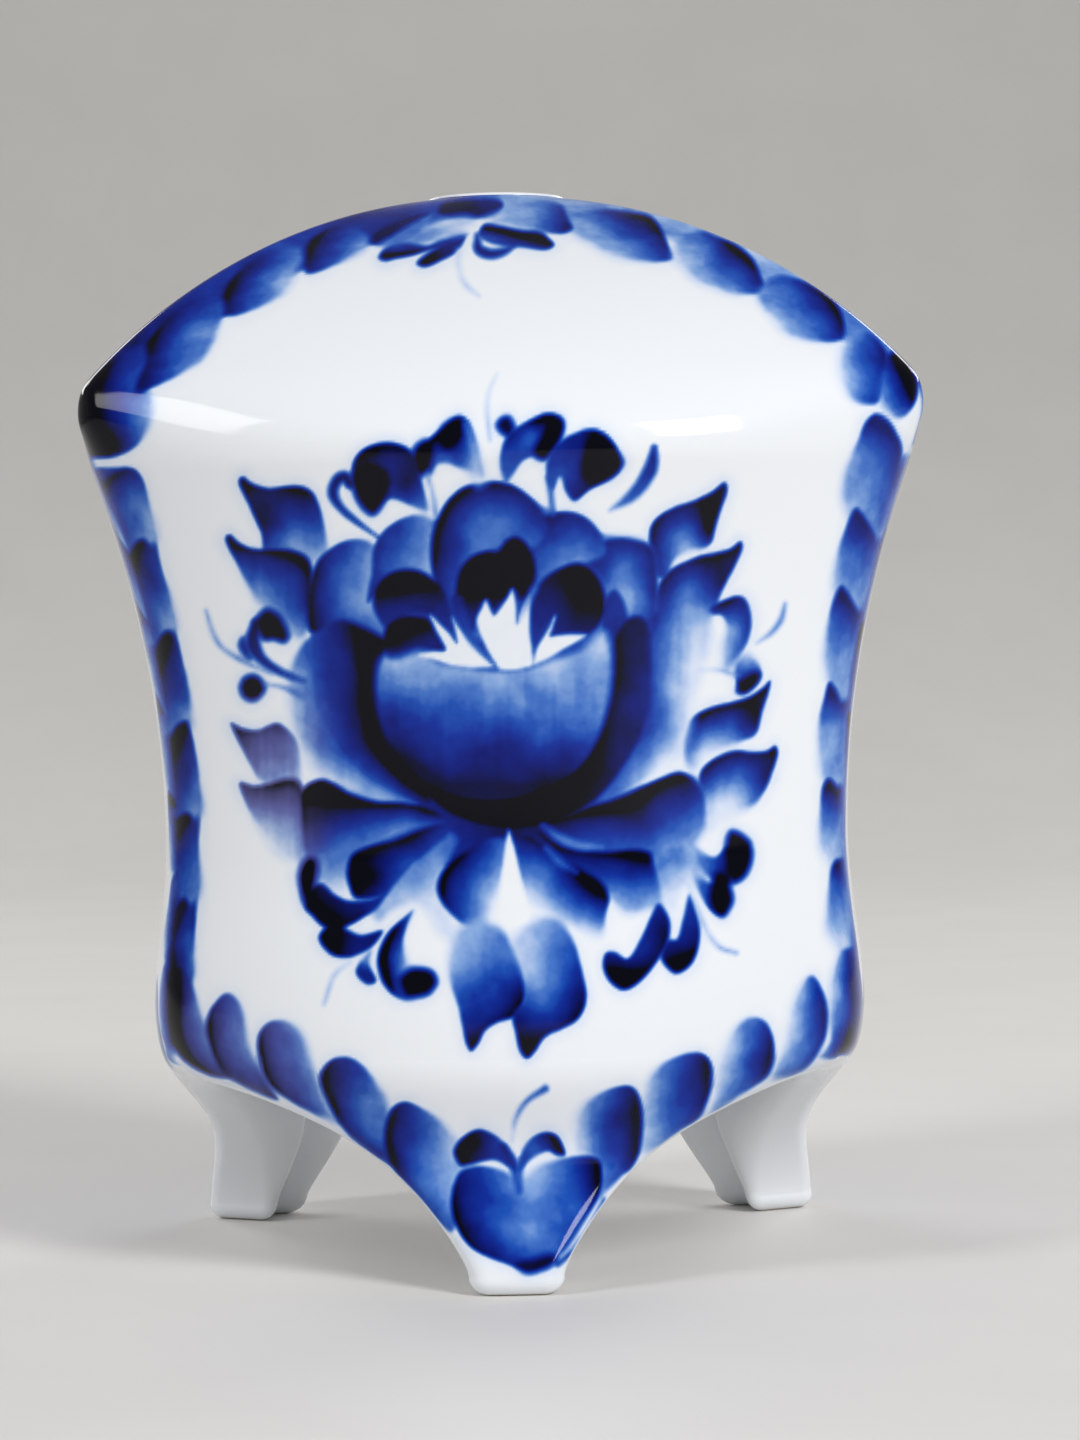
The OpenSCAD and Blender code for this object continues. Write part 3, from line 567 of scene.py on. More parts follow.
def share_along(x, y, x0, y0, dx, dy):
    """Share of a stretch of line at which it is nearest to a point."""
    return np.clip(((x - x0) * dx + (y - y0) * dy) / (dx * dx + dy * dy + TINY), 0, 1)


def outline_distance(x, y, loop):
    """Distance to an outline, positive inside it."""
    nearest = np.full(x.shape, np.inf)
    inside = np.zeros(x.shape, bool)
    for (x0, y0), (x1, y1) in zip(loop, np.roll(loop, -1, 0)):
        dx, dy = x1 - x0, y1 - y0
        t = share_along(x, y, x0, y0, dx, dy)
        nearest = np.minimum(nearest, (x - x0 - t * dx) ** 2 + (y - y0 - t * dy) ** 2)
        if y0 != y1:
            inside ^= ((y0 > y) != (y1 > y)) & (x < dx * (y - y0) / dy + x0)
    return np.where(inside, 1, -1) * np.sqrt(nearest)


def bend(distance):
    """Radial term of a thin plate through the spots."""
    return np.where(distance > 0, distance**2 * np.log(np.maximum(distance, TINY)), 0)


def depth_field(x, y, marks):
    """Depth of cobalt that runs smoothly between marked spots."""
    tone = marks[:, 2]
    if len(marks) == 1:
        return np.full(x.shape, tone[0])
    if len(marks) == 2:
        t = share_along(x, y, *marks[0, :2], *(marks[1, :2] - marks[0, :2]))
        return tone[0] + (tone[1] - tone[0]) * ease(t)
    centre = marks[:, :2].mean(0)
    span = np.abs(marks[:, :2] - centre).max()
    m = (marks[:, :2] - centre) / span
    q = (np.column_stack([x, y]) - centre) / span
    n = len(m)
    plate = np.zeros((n + 3, n + 3))
    plate[:n, :n] = bend(np.linalg.norm(m[:, None] - m, axis=2)) + PLATE_GIVE * np.eye(n)
    plate[:n, n] = plate[n, :n] = 1
    plate[:n, n + 1:] = m
    plate[n + 1:, :n] = m.T
    k = np.linalg.lstsq(plate, np.append(tone, [0, 0, 0]), rcond=None)[0]
    field = bend(np.linalg.norm(q[:, None] - m, axis=2)) @ k[:n] + k[n] + q @ k[n + 1:]
    return np.clip(field, max(PLATE_LEAST, tone.min() - PLATE_UNDER), min(1, tone.max() + PLATE_OVER))


def near(x, y, line, margin):
    """Numbers of the points in the box round a line."""
    lo, hi = line.min(0)[:2] - margin, line.max(0)[:2] + margin
    return np.flatnonzero((x > lo[0]) & (x < hi[0]) & (y > lo[1]) & (y < hi[1]))


def value_noise(x, y, size, seed):
    """Smooth seeded noise from -1 to 1."""
    lattice = np.random.default_rng(seed).uniform(-1, 1, (LATTICE, LATTICE))
    u, v = x / size, y / size
    i, j = np.floor(u).astype(int), np.floor(v).astype(int)
    s, t = ease(u - i), ease(v - j)
    i, j, i1, j1 = i % LATTICE, j % LATTICE, (i + 1) % LATTICE, (j + 1) % LATTICE
    low = lattice[i, j] * (1 - s) + lattice[i1, j] * s
    high = lattice[i, j1] * (1 - s) + lattice[i1, j1] * s
    return low * (1 - t) + high * t


def patches(x, y, table):
    share = np.zeros(x.shape)
    for cx, cy, rx, ry, strength in table:
        share = share + strength * np.exp(-(((x - cx) / rx) ** 4) - ((y - cy) / ry) ** 4)
    return share


def lay_stroke(ink, x, y, outline, depths):
    loop = rounded(spots(outline))
    hit = near(x, y, loop, 2 * BLEED)
    if not len(hit):
        return
    marks = spots(depths)
    d = outline_distance(x[hit], y[hit], loop)
    tone = depth_field(x[hit], y[hit], marks)
    soft = LOBE_SOFT if len(marks) == 1 else SOFT
    soft = soft + FEATHER * np.clip(1 - FEATHER_LOSS * tone, 0, 1) ** 2
    cover = ease(np.clip(0.5 + d / soft, 0, 1))
    bleed = tone * BLEED_DEPTH * np.exp(-((np.minimum(d, 0) / BLEED) ** 2))
    ink[hit] = np.maximum(ink[hit] * (1 - cover) + tone * cover, bleed)


def lift_glaze(ink, x, y, outline):
    loop = rounded(spots(outline), steps=BARE_CURVE_STEPS)
    hit = near(x, y, loop, BARE_SOFT)
    if len(hit):
        d = outline_distance(x[hit], y[hit], loop)
        ink[hit] *= 1 - BARE_LIFT * np.clip(0.5 + d / BARE_SOFT, 0, 1)


def draw_tendril(ink, x, y, path, ends):
    points = spots(path)
    first, last = (float(depth) for depth in ends.split(","))
    line = rounded(np.column_stack([points, np.linspace(first, last, len(points))]), closed=False)
    hit = near(x, y, line, 2 * BLEED)
    if not len(hit):
        return
    px, py = x[hit], y[hit]
    best, tone = np.full(px.shape, -np.inf), np.zeros(px.shape)
    for (x0, y0, w0, t0), (x1, y1, w1, t1) in zip(line[:-1], line[1:]):
        dx, dy = x1 - x0, y1 - y0
        t = share_along(px, py, x0, y0, dx, dy)
        d = (w0 + (w1 - w0) * t) / 2 - np.hypot(px - x0 - t * dx, py - y0 - t * dy)
        tone = np.where(d > best, t0 + (t1 - t0) * t, tone)
        best = np.maximum(d, best)
    cover = np.clip(0.5 + best / SOFT, 0, 1)
    ink[hit] = ink[hit] * (1 - cover) + np.maximum(tone, ink[hit] * SHOW_THROUGH) * cover


def paint(x, y, hand):
    """Depth of cobalt at points of the photograph; hands other than 0 repeat the painting less exactly."""
    if hand:
        x = x + STRAY * value_noise(x, y, STRAY_WIDTH, 10 * hand)
        y = y + STRAY * value_noise(x, y, STRAY_WIDTH, 10 * hand + 1)
    ink = np.zeros(x.shape)
    for outline, depths in entries(STROKES + HAND_BANDS[hand]):
        lay_stroke(ink, x, y, outline, depths)
    for (outline,) in entries(BARE):
        lift_glaze(ink, x, y, outline)
    for path, ends in entries(TENDRILS):
        draw_tendril(ink, x, y, path, ends)
    streak = sum(
        share * value_noise(x, y * stretch, width, seed) for share, stretch, width, seed in STREAK_NOISE
    )
    return np.clip(ink * (1 + (1 - ink) * streak * (STREAK_GROUND + patches(x, y, STREAKS))), 0, 1)


# Fineness of the painted surfaces
FACE_STEPS, WALL_STEPS, DOME_STEPS, ARCH_STEPS, TOE_STEPS, APRON_STEPS = 340, 240, 130, 130, 56, 120
INSIDE_STEPS = 24
# Crowding of an apron's rows towards its lip, outside and inside
OUT_CROWD, IN_CROWD = 1.3, 1.7
# Height over which a shoulder's lean is read, and rows over which it sets in
LEAN_STEP, LEAN_ROWS = 0.5, 3
# The painting ends where the lip of a foot has curled in by this much
FRONT_RIM, REAR_RIM = (0.7, 1.4), (0.15, 0.5)
# The rear hands' paintings run into their neighbours' over this angle beside an edge
MEET_ANGLE = 5.0
# For each rear hand: its row of points at an edge, the neighbour's row there, the neighbour's
# hand, and the share of the difference that this hand makes good
MEETINGS = {0: (), 1: ((0, -1, 2, 0.5), (-1, 0, 0, 1.0)), 2: ((-1, 0, 1, 0.5), (0, -1, 0, 1.0))}
# Creases sharper than this stay sharp in the shading
SHARP_ANGLE = 50


def zip_strip(first, second, first_at, second_at):
    """Triangles between two rows of points that run the same way."""
    made, i, j = [], 0, 0
    while i < len(first) - 1 or j < len(second) - 1:
        if j == len(second) - 1 or (i < len(first) - 1 and first_at[i + 1] <= second_at[j + 1]):
            made.append((first[i], first[i + 1], second[j]))
            i += 1
        else:
            made.append((first[i], second[j + 1], second[j]))
            j += 1
    return made


def grid_faces(ids):
    """Quads of a grid of point numbers, seen with rows to the right and columns up."""
    return np.stack([ids[:-1, :-1], ids[1:, :-1], ids[1:, 1:], ids[:-1, 1:]], -1).reshape(-1, 4)


def shell(outside, inside):
    """Closed shell between two grids of points with the same rows: points, quads and triangles."""
    rows, out_n, in_n = outside.shape[0], outside.shape[1], inside.shape[1]
    points = np.concatenate([outside.reshape(-1, 3), inside.reshape(-1, 3)])
    o = np.arange(rows * out_n).reshape(rows, out_n)
    i = rows * out_n + np.arange(rows * in_n).reshape(rows, in_n)
    quads = [grid_faces(o), grid_faces(i)[:, ::-1]]
    quads.append(grid_faces(np.stack([o[:, -1], i[:, -1]], 1)))
    quads.append(grid_faces(np.stack([i[:, 0], o[:, 0]], 1)))
    out_at, in_at = np.linspace(0, 1, out_n), np.linspace(0, 1, in_n)
    sides = zip_strip(i[0], o[0], in_at, out_at) + zip_strip(o[-1], i[-1], out_at, in_at)
    return points, np.concatenate(quads), np.array(sides)


def make_piece(name, points, quads, triangles, turn, layers):
    """Mesh object of a CAD node, turned to its face, with point values for the material."""
    turn = math.radians(turn)
    x, y, z = points.T * MM
    across, back = x * math.cos(turn) - y * math.sin(turn), x * math.sin(turn) + y * math.cos(turn) + AXIS_Y
    mesh = bpy.data.meshes.new(name + "_glazed")
    loops = np.concatenate([quads.ravel(), triangles.ravel()]).astype(np.int32)
    sizes = np.concatenate([np.full(len(quads), 4), np.full(len(triangles), 3)])
    starts = np.concatenate([[0], np.cumsum(sizes)[:-1]]).astype(np.int32)
    mesh.vertices.add(len(points))
    mesh.vertices.foreach_set("co", np.stack([across, back, z], 1).astype(np.float32).ravel())
    mesh.loops.add(len(loops))
    mesh.loops.foreach_set("vertex_index", loops)
    mesh.polygons.add(len(sizes))
    mesh.polygons.foreach_set("loop_start", starts)
    mesh.polygons.foreach_set("use_smooth", np.ones(len(sizes), bool))
    mesh.update()
    mesh.validate()
    for layer, values in layers.items():
        stored = mesh.attributes.new(layer, "FLOAT", "POINT")
        stored.data.foreach_set("value", values.astype(np.float32))
    mesh.set_sharp_from_angle(angle=math.radians(SHARP_ANGLE))
    piece = bpy.data.objects.new(name + "_glazed", mesh)
    bpy.context.collection.objects.link(piece)
    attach(piece, "root")
    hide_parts(name)
    mesh.materials.append(glaze)


def painted(outside, inside, curled, hand):
    """Depth of the cobalt on a shell, and the share of painted reflection that greys it: painted outside up
    to the curl of a lip, bare inside.
    """
    x, y = in_photo(outside.reshape(-1, 3))
    ink = paint(x, y, hand).reshape(outside.shape[:2])
    angles = np.degrees(np.arctan2(outside[:, 0, 0], -outside[:, 0, 1]))
    for own, other, other_hand, share in MEETINGS[hand]:
        beside = ease(np.clip(1 - np.abs(angles - angles[own]) / MEET_ANGLE, 0, 1))
        met = paint(*in_photo(outside[other]), other_hand) - ink[own]
        ink = ink + share * beside[:, None] * met
    start, end = REAR_RIM if hand else FRONT_RIM
    ink = (ink * (1 - ease(np.clip((curled - start) / (end - start), 0, 1)))).ravel()
    # Painted reflection greys the cobalt on the front face only, and not the bare white
    reflection_grey = patches(x, y, [] if hand else PAINTED_REFLECTION_PATCHES) * np.minimum(1, 2 * ink)
    bare = np.zeros(inside.shape[0] * inside.shape[1])
    return {"cobalt": np.concatenate([ink, bare]), "painted_reflection": np.concatenate([reflection_grey, bare])}


# Each maker gives the points outside and inside, and how far the lip has curled in at those outside
def wall_shell():
    angles = np.linspace(-HALF_FACE, HALF_FACE, FACE_STEPS + 1)[:, None]
    out_z = np.linspace(JOINT_Z, CREASE_Z, WALL_STEPS + 1)[None, :]
    in_z = np.linspace(JOINT_Z, CREASE_Z, INSIDE_STEPS + 1)[None, :]
    return at(angles, outer_r(angles, out_z), out_z), at(angles, outer_r(angles, in_z) - WALL_T, in_z), 0


def dome_level(steps):
    """Heights that crowd towards the top of the dome."""
    return CREASE_Z + (DOME_TOP_Z - CREASE_Z) * np.sin(np.pi / 2 * np.arange(steps + 1) / steps)[None, :]


def shoulder_shell():
    angles = np.linspace(-HALF_FACE, HALF_FACE, FACE_STEPS + 1)[:, None]
    out_z, in_z = dome_level(DOME_STEPS), dome_level(INSIDE_STEPS)
    outside = at(angles, np.maximum(MOUTH_R, outer_r(angles, out_z)), out_z)
    read_z, half = np.minimum(in_z, DOME_TOP_Z - LEAN_STEP), LEAN_STEP / 2
    lean = np.arctan((outer_r(angles, read_z - half) - outer_r(angles, read_z + half)) / LEAN_STEP)
    lean = lean * np.minimum(1, np.arange(INSIDE_STEPS + 1) / LEAN_ROWS)
    in_r = np.maximum(MOUTH_R, outer_r(angles, in_z) - WALL_T * np.cos(lean))
    return outside, at(angles, in_r, in_z - WALL_T * np.maximum(0, np.sin(lean))), 0


def quarter_round(d):
    """Rise of a rounded corner of radius 1 at distance d from its end."""
    return np.where(d >= 1, 0, 1 - np.sqrt(np.maximum(0, 1 - (1 - d) ** 2)))


def bell(a, width):
    return np.exp(-((a / width) ** 2))


def foot_shell():
    arch = np.sin(np.pi / 2 * np.arange(ARCH_STEPS + 1) / ARCH_STEPS) ** (2 / ARCH_FULL)
    side = HALF_FACE - ARCH_SPAN * arch
    toe = TOE_ANGLE * np.sin(np.pi / 2 * np.linspace(-1, 1, TOE_STEPS + 1)[1:-1])
    angles = np.concatenate([-side, toe, side[::-1]])[:, None]
    share = (HALF_FACE - np.abs(angles)) / ARCH_SPAN
    arch_h = ARCH_Z - SOLE_ROUND
    arch_lip = SOLE_ROUND + arch_h * np.maximum(0, 1 - share**ARCH_FULL) ** ARCH_DROP
    from_side = np.radians(TOE_ANGLE - np.abs(angles)) * (BELLY_FACE_R + TOE_OUT)
    toe_lip = quarter_round(np.maximum(0, from_side) / TOE_ROUND) * SOLE_ROUND
    lip_z = np.where(share > 1, toe_lip, arch_lip)

    def level(steps, crowd):
        return lip_z + (JOINT_Z - lip_z) * (np.arange(steps + 1)[None, :] / steps) ** crowd

    def drawn_in(z):
        """How far the rounded lip and sole draw the surface in."""
        height = np.maximum(0, z - SOLE_ROUND) / arch_h
        over = share**ARCH_FULL + height ** (1 / ARCH_DROP) - 1
        along = ARCH_FULL * share ** (ARCH_FULL - 1) / (math.radians(ARCH_SPAN) * outer_r(angles, z))
        up = height ** (1 / ARCH_DROP - 1) / (ARCH_DROP * arch_h)
        away = np.maximum(0, over) / np.maximum(np.hypot(along, up), LEAST)
        past_toe = np.clip((np.abs(angles) - TOE_ANGLE) / (HALF_FACE / 2), 0, 1)
        rounding = TOE_ROUND + (LIP_ROUND - TOE_ROUND) * ease(past_toe)
        beside = np.maximum(0, 1 - away / rounding)
        under = np.maximum(0, 1 - z / SOLE_ROUND)
        edge = np.minimum(1, np.hypot(beside, under))
        radius = (rounding * beside + SOLE_ROUND * under) / np.maximum(beside + under, LEAST)
        return radius * (1 - np.sqrt(1 - edge**2))

    out_z, in_z = level(APRON_STEPS, OUT_CROWD), level(INSIDE_STEPS, IN_CROWD)
    hollow = TOE_MORE * bell(angles, TOE_SPREAD) - GROOVE_IN * bell(angles, GROOVE_ANGLE)
    thick = APRON_T + hollow * (1 - (in_z / JOINT_Z) ** 2)
    curled = drawn_in(out_z)
    outside = at(angles, outer_r(angles, out_z) - curled, out_z)
    inside = at(angles, outer_r(angles, in_z) - thick + drawn_in(in_z), in_z)
    return outside, inside, curled


# Steps round the mouth ring, and along its bore, lip, top, rim, side and underside
RING_STEPS, BORE_N, LIP_N, TOP_N, RIM_N, SIDE_N, UNDER_N = 192, 12, 18, 5, 9, 10, 6
# Steps of the floor plate along a face, gap to the walls, softness of its rims, and its rings of points
FLOOR_STEPS, FLOOR_GAP, FLOOR_SOFT, FLOOR_RINGS = 64, 0.1, 0.5, (0.06, 0.94, 12)


def turned_shell(profile, steps):
    """Points and quads of a closed ring turned from a profile of radius and height."""
    turns = np.linspace(0, 360, steps, endpoint=False)[:, None]
    grid = at(turns, profile[None, :, 0], profile[None, :, 1])
    ids = np.arange(grid.shape[0] * grid.shape[1]).reshape(grid.shape[:2])
    ids = np.vstack([ids, ids[:1]])
    ids = np.hstack([ids, ids[:, :1]])
    return grid.reshape(-1, 3), grid_faces(ids)


def ring_profile():
    """Bore upwards, over the rounded lip, and down the outside of the mouth ring."""
    foot_z, inner_z, outer_z = TOTAL_H - MOUTH_H, TOTAL_H - MOUTH_ROUND, TOTAL_H - LIP_RISE
    lip_r, rim_r = BORE_R + MOUTH_ROUND, MOUTH_R - LIP_RISE

    def corner(r, z, size, turns):
        return [(r + size * math.cos(t), z + size * math.sin(t)) for t in turns]

    profile = [(BORE_R, z) for z in np.linspace(foot_z, inner_z, BORE_N)]
    profile += corner(lip_r, inner_z, MOUTH_ROUND, np.linspace(math.pi, math.pi / 2, LIP_N)[1:])
    profile += [(r, TOTAL_H) for r in np.linspace(lip_r, rim_r, TOP_N)[1:]]
    profile += corner(rim_r, outer_z, LIP_RISE, np.linspace(math.pi / 2, 0, RIM_N)[1:])
    profile += [(MOUTH_R, z) for z in np.linspace(outer_z, foot_z, SIDE_N)[1:]]
    profile += [(r, foot_z) for r in np.linspace(MOUTH_R, BORE_R, UNDER_N)[1:-1]]
    return np.array(profile)


def floor_disc():
    """Floor plate with softened rims: rings of points from the middle of its top to that below."""
    face = np.linspace(-HALF_FACE, HALF_FACE, FLOOR_STEPS, endpoint=False)
    angles = np.concatenate([face + k * NEXT_FACE for k in range(3)])
    low_z, high_z = JOINT_Z, JOINT_Z + FLOOR_T
    rim = np.minimum(outer_r(face, np.full(face.shape, low_z)), outer_r(face, np.full(face.shape, high_z)))
    rim = np.tile(rim - WALL_T - FLOOR_GAP, 3)
    shares = np.linspace(*FLOOR_RINGS)
    rings = [(share, 0, high_z) for share in shares]
    rings += [(1, FLOOR_SOFT, high_z), (1, 0, high_z - FLOOR_SOFT)]
    rings += [(1, 0, low_z + FLOOR_SOFT), (1, FLOOR_SOFT, low_z)]
    rings += [(share, 0, low_z) for share in shares[::-1]]
    grid = np.stack([at(angles, rim * share - inset, z) for share, inset, z in rings], 1)
    count = grid.shape[0] * grid.shape[1]
    ids = np.arange(count).reshape(grid.shape[:2])
    around = np.vstack([ids, ids[:1]])
    points = np.concatenate([grid.reshape(-1, 3), [[0, 0, high_z], [0, 0, low_z]]])
    top = [(b, count, a) for a, b in zip(around[:-1, 0], around[1:, 0])]
    below = [(count + 1, b, a) for a, b in zip(around[:-1, -1], around[1:, -1])]
    return points, grid_faces(around)[:, ::-1], np.array(top + below)


# Cobalt under glaze, from bare white to the deepest blue: depth and sRGB colour
COBALT = [
    (0.0, (234, 237, 241)), (0.12, (206, 218, 240)), (0.3, (130, 165, 218)), (0.45, (70, 116, 196)),
    (0.6, (26, 78, 176)), (0.75, (9, 44, 150)), (0.89, (3, 20, 114)), (0.95, (1, 8, 74)), (0.985, (0, 0, 12)),
]
GLAZE_IOR, GLAZE_SPECULAR, GLAZE_ROUGH = 1.5, 0.2, 0.07
# Unglazed clay of the soles, and the height over which the glaze is wiped off
CLAY, CLAY_ROUGH = (222, 217, 208), 0.75
WIPED_Z, WIPED_SOFT = 0.35, 0.3
# Grain of the brush's wash, the range of its noise, and how far it swings the depth
WASH_SCALE, WASH_RANGE, WASH_SWING = 230.0, (0.25, 0.75), 0.6
# Hue, saturation and value that the painted reflection gives the cobalt at its fullest
REFLECTION_HUE, REFLECTION_SATURATION, REFLECTION_VALUE = 0.525, 0.5, 0.88
# Faint clouds in the white: scale, greatest share and tint
CLOUD_SCALE, CLOUD_SHARE, CLOUD_TINT = 60.0, 0.5, (0.97, 0.975, 0.985, 1)
# Slow waves in the surface of the glaze: scale, strength and depth in metres
WAVE_SCALE, WAVE_STRENGTH, WAVE_DEPTH = 120.0, 0.06, 0.0006


def linear(rgb):
    """Linear colour of an sRGB one."""
    return tuple(((c / 255 + 0.055) / 1.055) ** 2.4 if c > 10 else c / 255 / 12.92 for c in rgb) + (1,)


def node(tree, kind, inputs=(), **settings):
    """New shader node. Its inputs are sockets to link or constants, by name or number."""
    made = tree.nodes.new("ShaderNode" + kind)
    for name, value in settings.items():
        setattr(made, name, value)
    for name, value in dict(inputs).items():
        if isinstance(value, bpy.types.NodeSocket):
            tree.links.new(value, made.inputs[name])
        else:
            made.inputs[name].default_value = value
    return made


def glaze_material():
    material = bpy.data.materials.new("glazed_porcelain")
    material.use_nodes = True
    tree = material.node_tree
    tree.nodes.clear()
    place = node(tree, "TexCoord").outputs["Object"]
    layers = [node(tree, "Attribute", attribute_name=layer) for layer in ("cobalt", "painted_reflection", "bisque")]
    cobalt, painted_reflection, bisque = (layer.outputs["Fac"] for layer in layers)

    def noise(scale, detail):
        return node(tree, "TexNoise", {"Vector": place, "Scale": scale, "Detail": detail}).outputs["Fac"]

    def ranged(value, low, high, start=0.0, end=1.0):
        ends = {"From Min": start, "From Max": end, "To Min": low, "To Max": high}
        return node(tree, "MapRange", {"Value": value, **ends}).outputs["Result"]

    def math_node(operation, *values):
        return node(tree, "Math", enumerate(values), operation=operation).outputs[0]

    # The wash swings most at half depth, and not at all on bare white or in the darkest cobalt
    swing = ranged(noise(WASH_SCALE, 3.0), -WASH_SWING, WASH_SWING, *WASH_RANGE)
    middle = math_node("MULTIPLY", cobalt, math_node("SUBTRACT", 1.0, cobalt))
    ramp = node(tree, "ValToRGB", {"Fac": math_node("MULTIPLY_ADD", middle, swing, cobalt)})
    stops = ramp.color_ramp.elements
    stops.remove(stops[1])
    for i, (depth, rgb) in enumerate(COBALT):
        stop = stops.new(depth) if i else stops[0]
        stop.position = depth
        stop.color = linear(rgb)
    # Painted reflection: the cobalt turns greyer by the share in its attribute
    reflection_grey = {"Hue": REFLECTION_HUE, "Saturation": REFLECTION_SATURATION, "Value": REFLECTION_VALUE}
    with_reflection = node(tree, "HueSaturation", {"Fac": painted_reflection, "Color": ramp.outputs["Color"], **reflection_grey})
    cloud = ranged(noise(CLOUD_SCALE, 2.0), 0.0, CLOUD_SHARE)
    colours = {"Factor": cloud, "A": with_reflection.outputs["Color"], "B": CLOUD_TINT}
    tint = node(tree, "Mix", colours, data_type="RGBA", blend_type="MULTIPLY")
    colours = {"Factor": bisque, "A": tint.outputs["Result"], "B": linear(CLAY)}
    clay = node(tree, "Mix", colours, data_type="RGBA")
    wave = {"Height": noise(WAVE_SCALE, 2.0), "Strength": WAVE_STRENGTH, "Distance": WAVE_DEPTH}
    shader = node(tree, "BsdfPrincipled", {
        "Base Color": clay.outputs["Result"],
        "Roughness": ranged(bisque, GLAZE_ROUGH, CLAY_ROUGH),
        "IOR": GLAZE_IOR,
        "Specular IOR Level": GLAZE_SPECULAR,
        "Normal": node(tree, "Bump", wave).outputs["Normal"],
    })
    node(tree, "OutputMaterial", {"Surface": shader.outputs["BSDF"]})
    return material


glaze = glaze_material()
MAKERS = {"wall": wall_shell, "shoulder": shoulder_shell, "foot": foot_shell}
for part, maker in MAKERS.items():
    outside, inside, curled = maker()
    points, quads, triangles = shell(outside, inside)
    sole = np.clip((WIPED_Z - points[:, 2]) / WIPED_SOFT, 0, 1)
    for side, (turn, hand) in FACES.items():
        layers = {**painted(outside, inside, curled, hand), "bisque": sole}
        make_piece(f"{side}_{part}", points, quads, triangles, turn, layers)

no_triangles = np.zeros((0, 3), int)
PLAIN = {"mouth_ring": (*turned_shell(ring_profile(), RING_STEPS), no_triangles), "base_floor": floor_disc()}
for name, (points, quads, triangles) in PLAIN.items():
    bare = np.zeros(len(points))
    layers = {"cobalt": bare, "painted_reflection": bare, "bisque": bare}
    make_piece(name, points, quads, triangles, 0, layers)


# Studio, in metres: colour, grain, its swing in sRGB steps and roughness of the floor
FLOOR_RGB, FLOOR_GRAIN, FLOOR_SWING, FLOOR_ROUGH = (226, 224, 221), 30.0, 4, 0.6
# Half width, front end, start and radius of the bend into the backdrop, and its top
FLOOR_HALF_W, FLOOR_FRONT, FLOOR_FLAT, FLOOR_BACK, BEND_R, BACKDROP_TOP = 2.0, -2.0, -1.0, 0.55, 0.35, 1.6
FLAT_STEPS, BEND_STEPS = 8, 16
# Soft boxes a metre from the vase: degrees turned from the front to the right and raised, size and watts
LAMPS = {
    "key_right": (40, 28, (0.28, 0.5), 3.0),
    "fill_left": (-60, 29, (0.26, 0.52), 1.45),
    "back_right": (140, 25, (0.4, 0.4), 1.13),
    "back_left": (-140, 25, (0.4, 0.4), 1.13),
}
# Grids on the soft boxes keep the floor under them from clipping
LAMP_SPREAD = 120
ROOM_LIGHT = 0.25
CLIP_START = 0.02


def floor_material():
    material = bpy.data.materials.new("pale_floor")
    material.use_nodes = True
    tree = material.node_tree
    place = node(tree, "TexCoord").outputs["Object"]
    grain = node(tree, "TexNoise", {"Vector": place, "Scale": FLOOR_GRAIN, "Detail": 4.0})
    ramp = node(tree, "ValToRGB", {"Fac": grain.outputs["Fac"]})
    for stop, swing in zip(ramp.color_ramp.elements, (-FLOOR_SWING, FLOOR_SWING)):
        stop.color = linear(tuple(c + swing for c in FLOOR_RGB))
    shader = tree.nodes["Principled BSDF"]
    shader.inputs["Roughness"].default_value = FLOOR_ROUGH
    tree.links.new(ramp.outputs["Color"], shader.inputs["Base Color"])
    return material


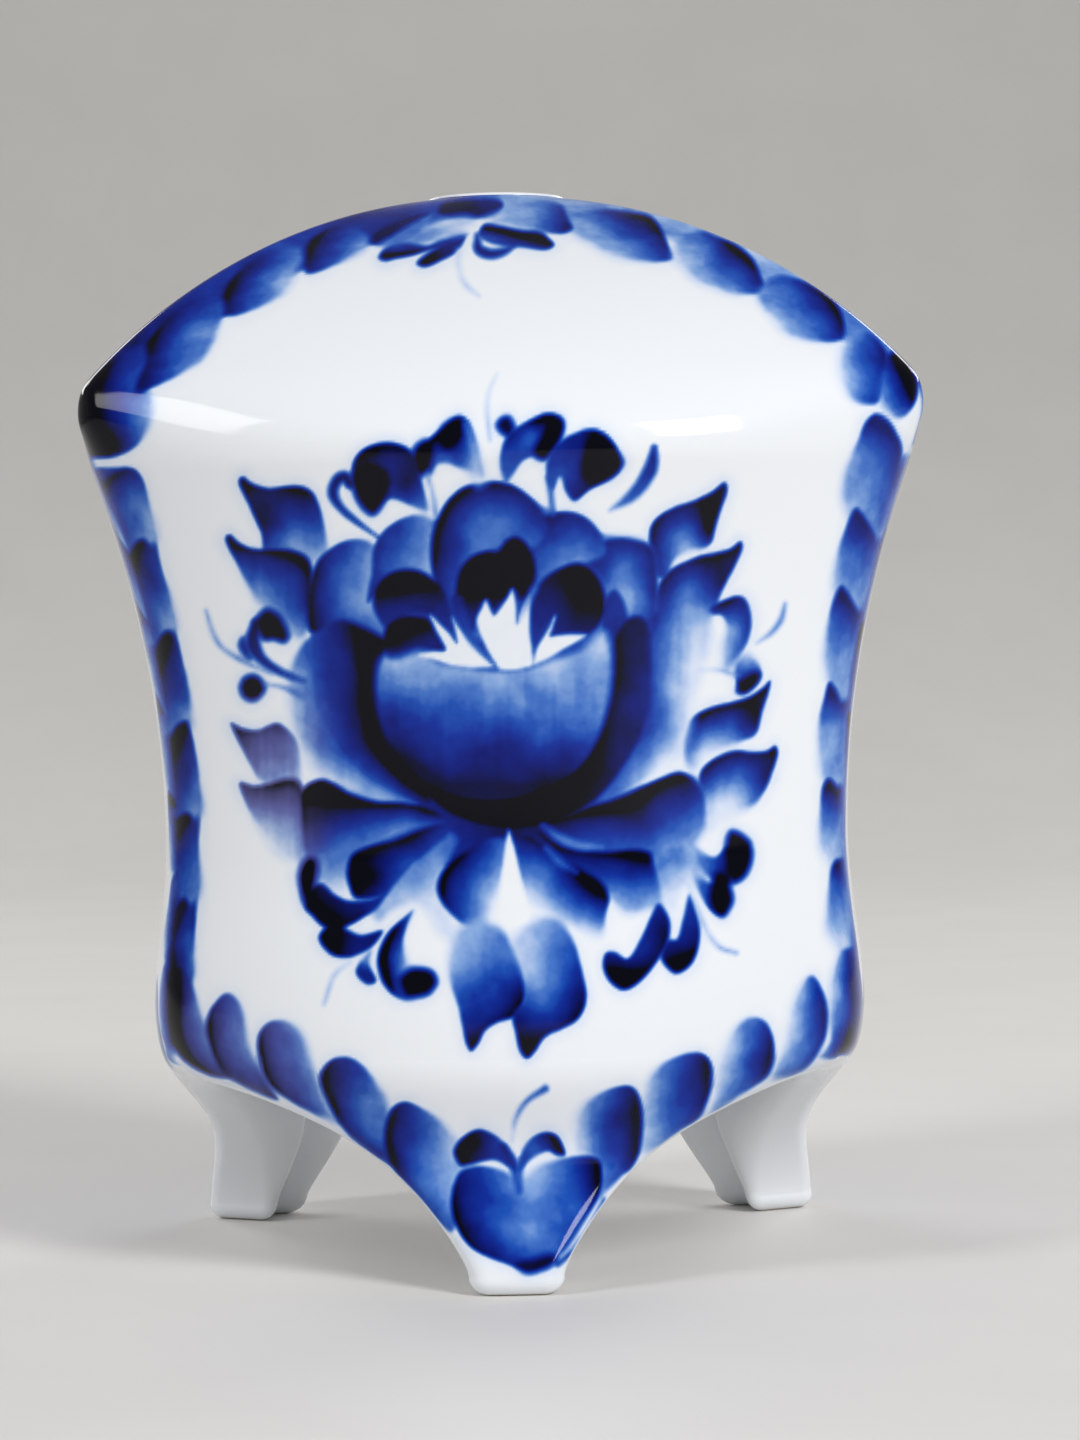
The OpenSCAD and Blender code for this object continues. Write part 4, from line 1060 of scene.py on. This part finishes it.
def sweep_floor():
    """Floor that curves up into a backdrop."""
    curve = [(FLOOR_FRONT, 0.0)] + [(y, 0.0) for y in np.linspace(FLOOR_FLAT, FLOOR_BACK, FLAT_STEPS)]
    for t in np.linspace(0, math.pi / 2, BEND_STEPS)[1:]:
        curve.append((FLOOR_BACK + BEND_R * math.sin(t), BEND_R - BEND_R * math.cos(t)))
    curve.append((FLOOR_BACK + BEND_R, BACKDROP_TOP))
    verts = [(x, y, z) for y, z in curve for x in (-FLOOR_HALF_W, FLOOR_HALF_W)]
    faces = [(2 * i, 2 * i + 1, 2 * i + 3, 2 * i + 2) for i in range(len(curve) - 1)]
    mesh = bpy.data.meshes.new("floor")
    mesh.from_pydata(verts, [], faces)
    mesh.polygons.foreach_set("use_smooth", [True] * len(faces))
    mesh.materials.append(floor_material())
    floor = bpy.data.objects.new("floor", mesh)
    bpy.context.collection.objects.link(floor)


def soft_box(name, turn, rise, size, power):
    turn, rise = math.radians(turn), math.radians(rise)
    away = Vector((math.sin(turn) * math.cos(rise), -math.cos(turn) * math.cos(rise), math.sin(rise)))
    lamp = bpy.data.lights.new(name, "AREA")
    lamp.shape = "RECTANGLE"
    lamp.size, lamp.size_y = size
    lamp.energy = power
    lamp.spread = math.radians(LAMP_SPREAD)
    holder = bpy.data.objects.new(name, lamp)
    holder.location = Vector((0, AXIS_Y, TOTAL_H * MM / 2)) + away
    holder.rotation_mode = "QUATERNION"
    holder.rotation_quaternion = (-away).to_track_quat("-Z", "Y")
    bpy.context.collection.objects.link(holder)


def add_camera():
    right, up, forward = camera_axes()
    lens = bpy.data.cameras.new("photo_camera")
    lens.sensor_width = SENSOR
    lens.lens = FOCAL_PX * SENSOR / FRAME_H
    lens.clip_start = CLIP_START
    camera = bpy.data.objects.new("photo_camera", lens)
    spin = Matrix((right, up, -forward)).transposed().to_4x4()
    camera.matrix_world = Matrix.Translation(Vector(CAMERA_AT * MM) + Vector((0, AXIS_Y, 0))) @ spin
    bpy.context.collection.objects.link(camera)
    bpy.context.scene.camera = camera


sweep_floor()
add_camera()
for name, lamp in LAMPS.items():
    soft_box(name, *lamp)

world = bpy.data.worlds.new("studio")
bpy.context.scene.world = world
world.use_nodes = True
room = world.node_tree.nodes["Background"]
room.inputs["Color"].default_value = (1, 1, 1, 1)
room.inputs["Strength"].default_value = ROOM_LIGHT
bpy.context.scene.view_settings.view_transform = "Standard"
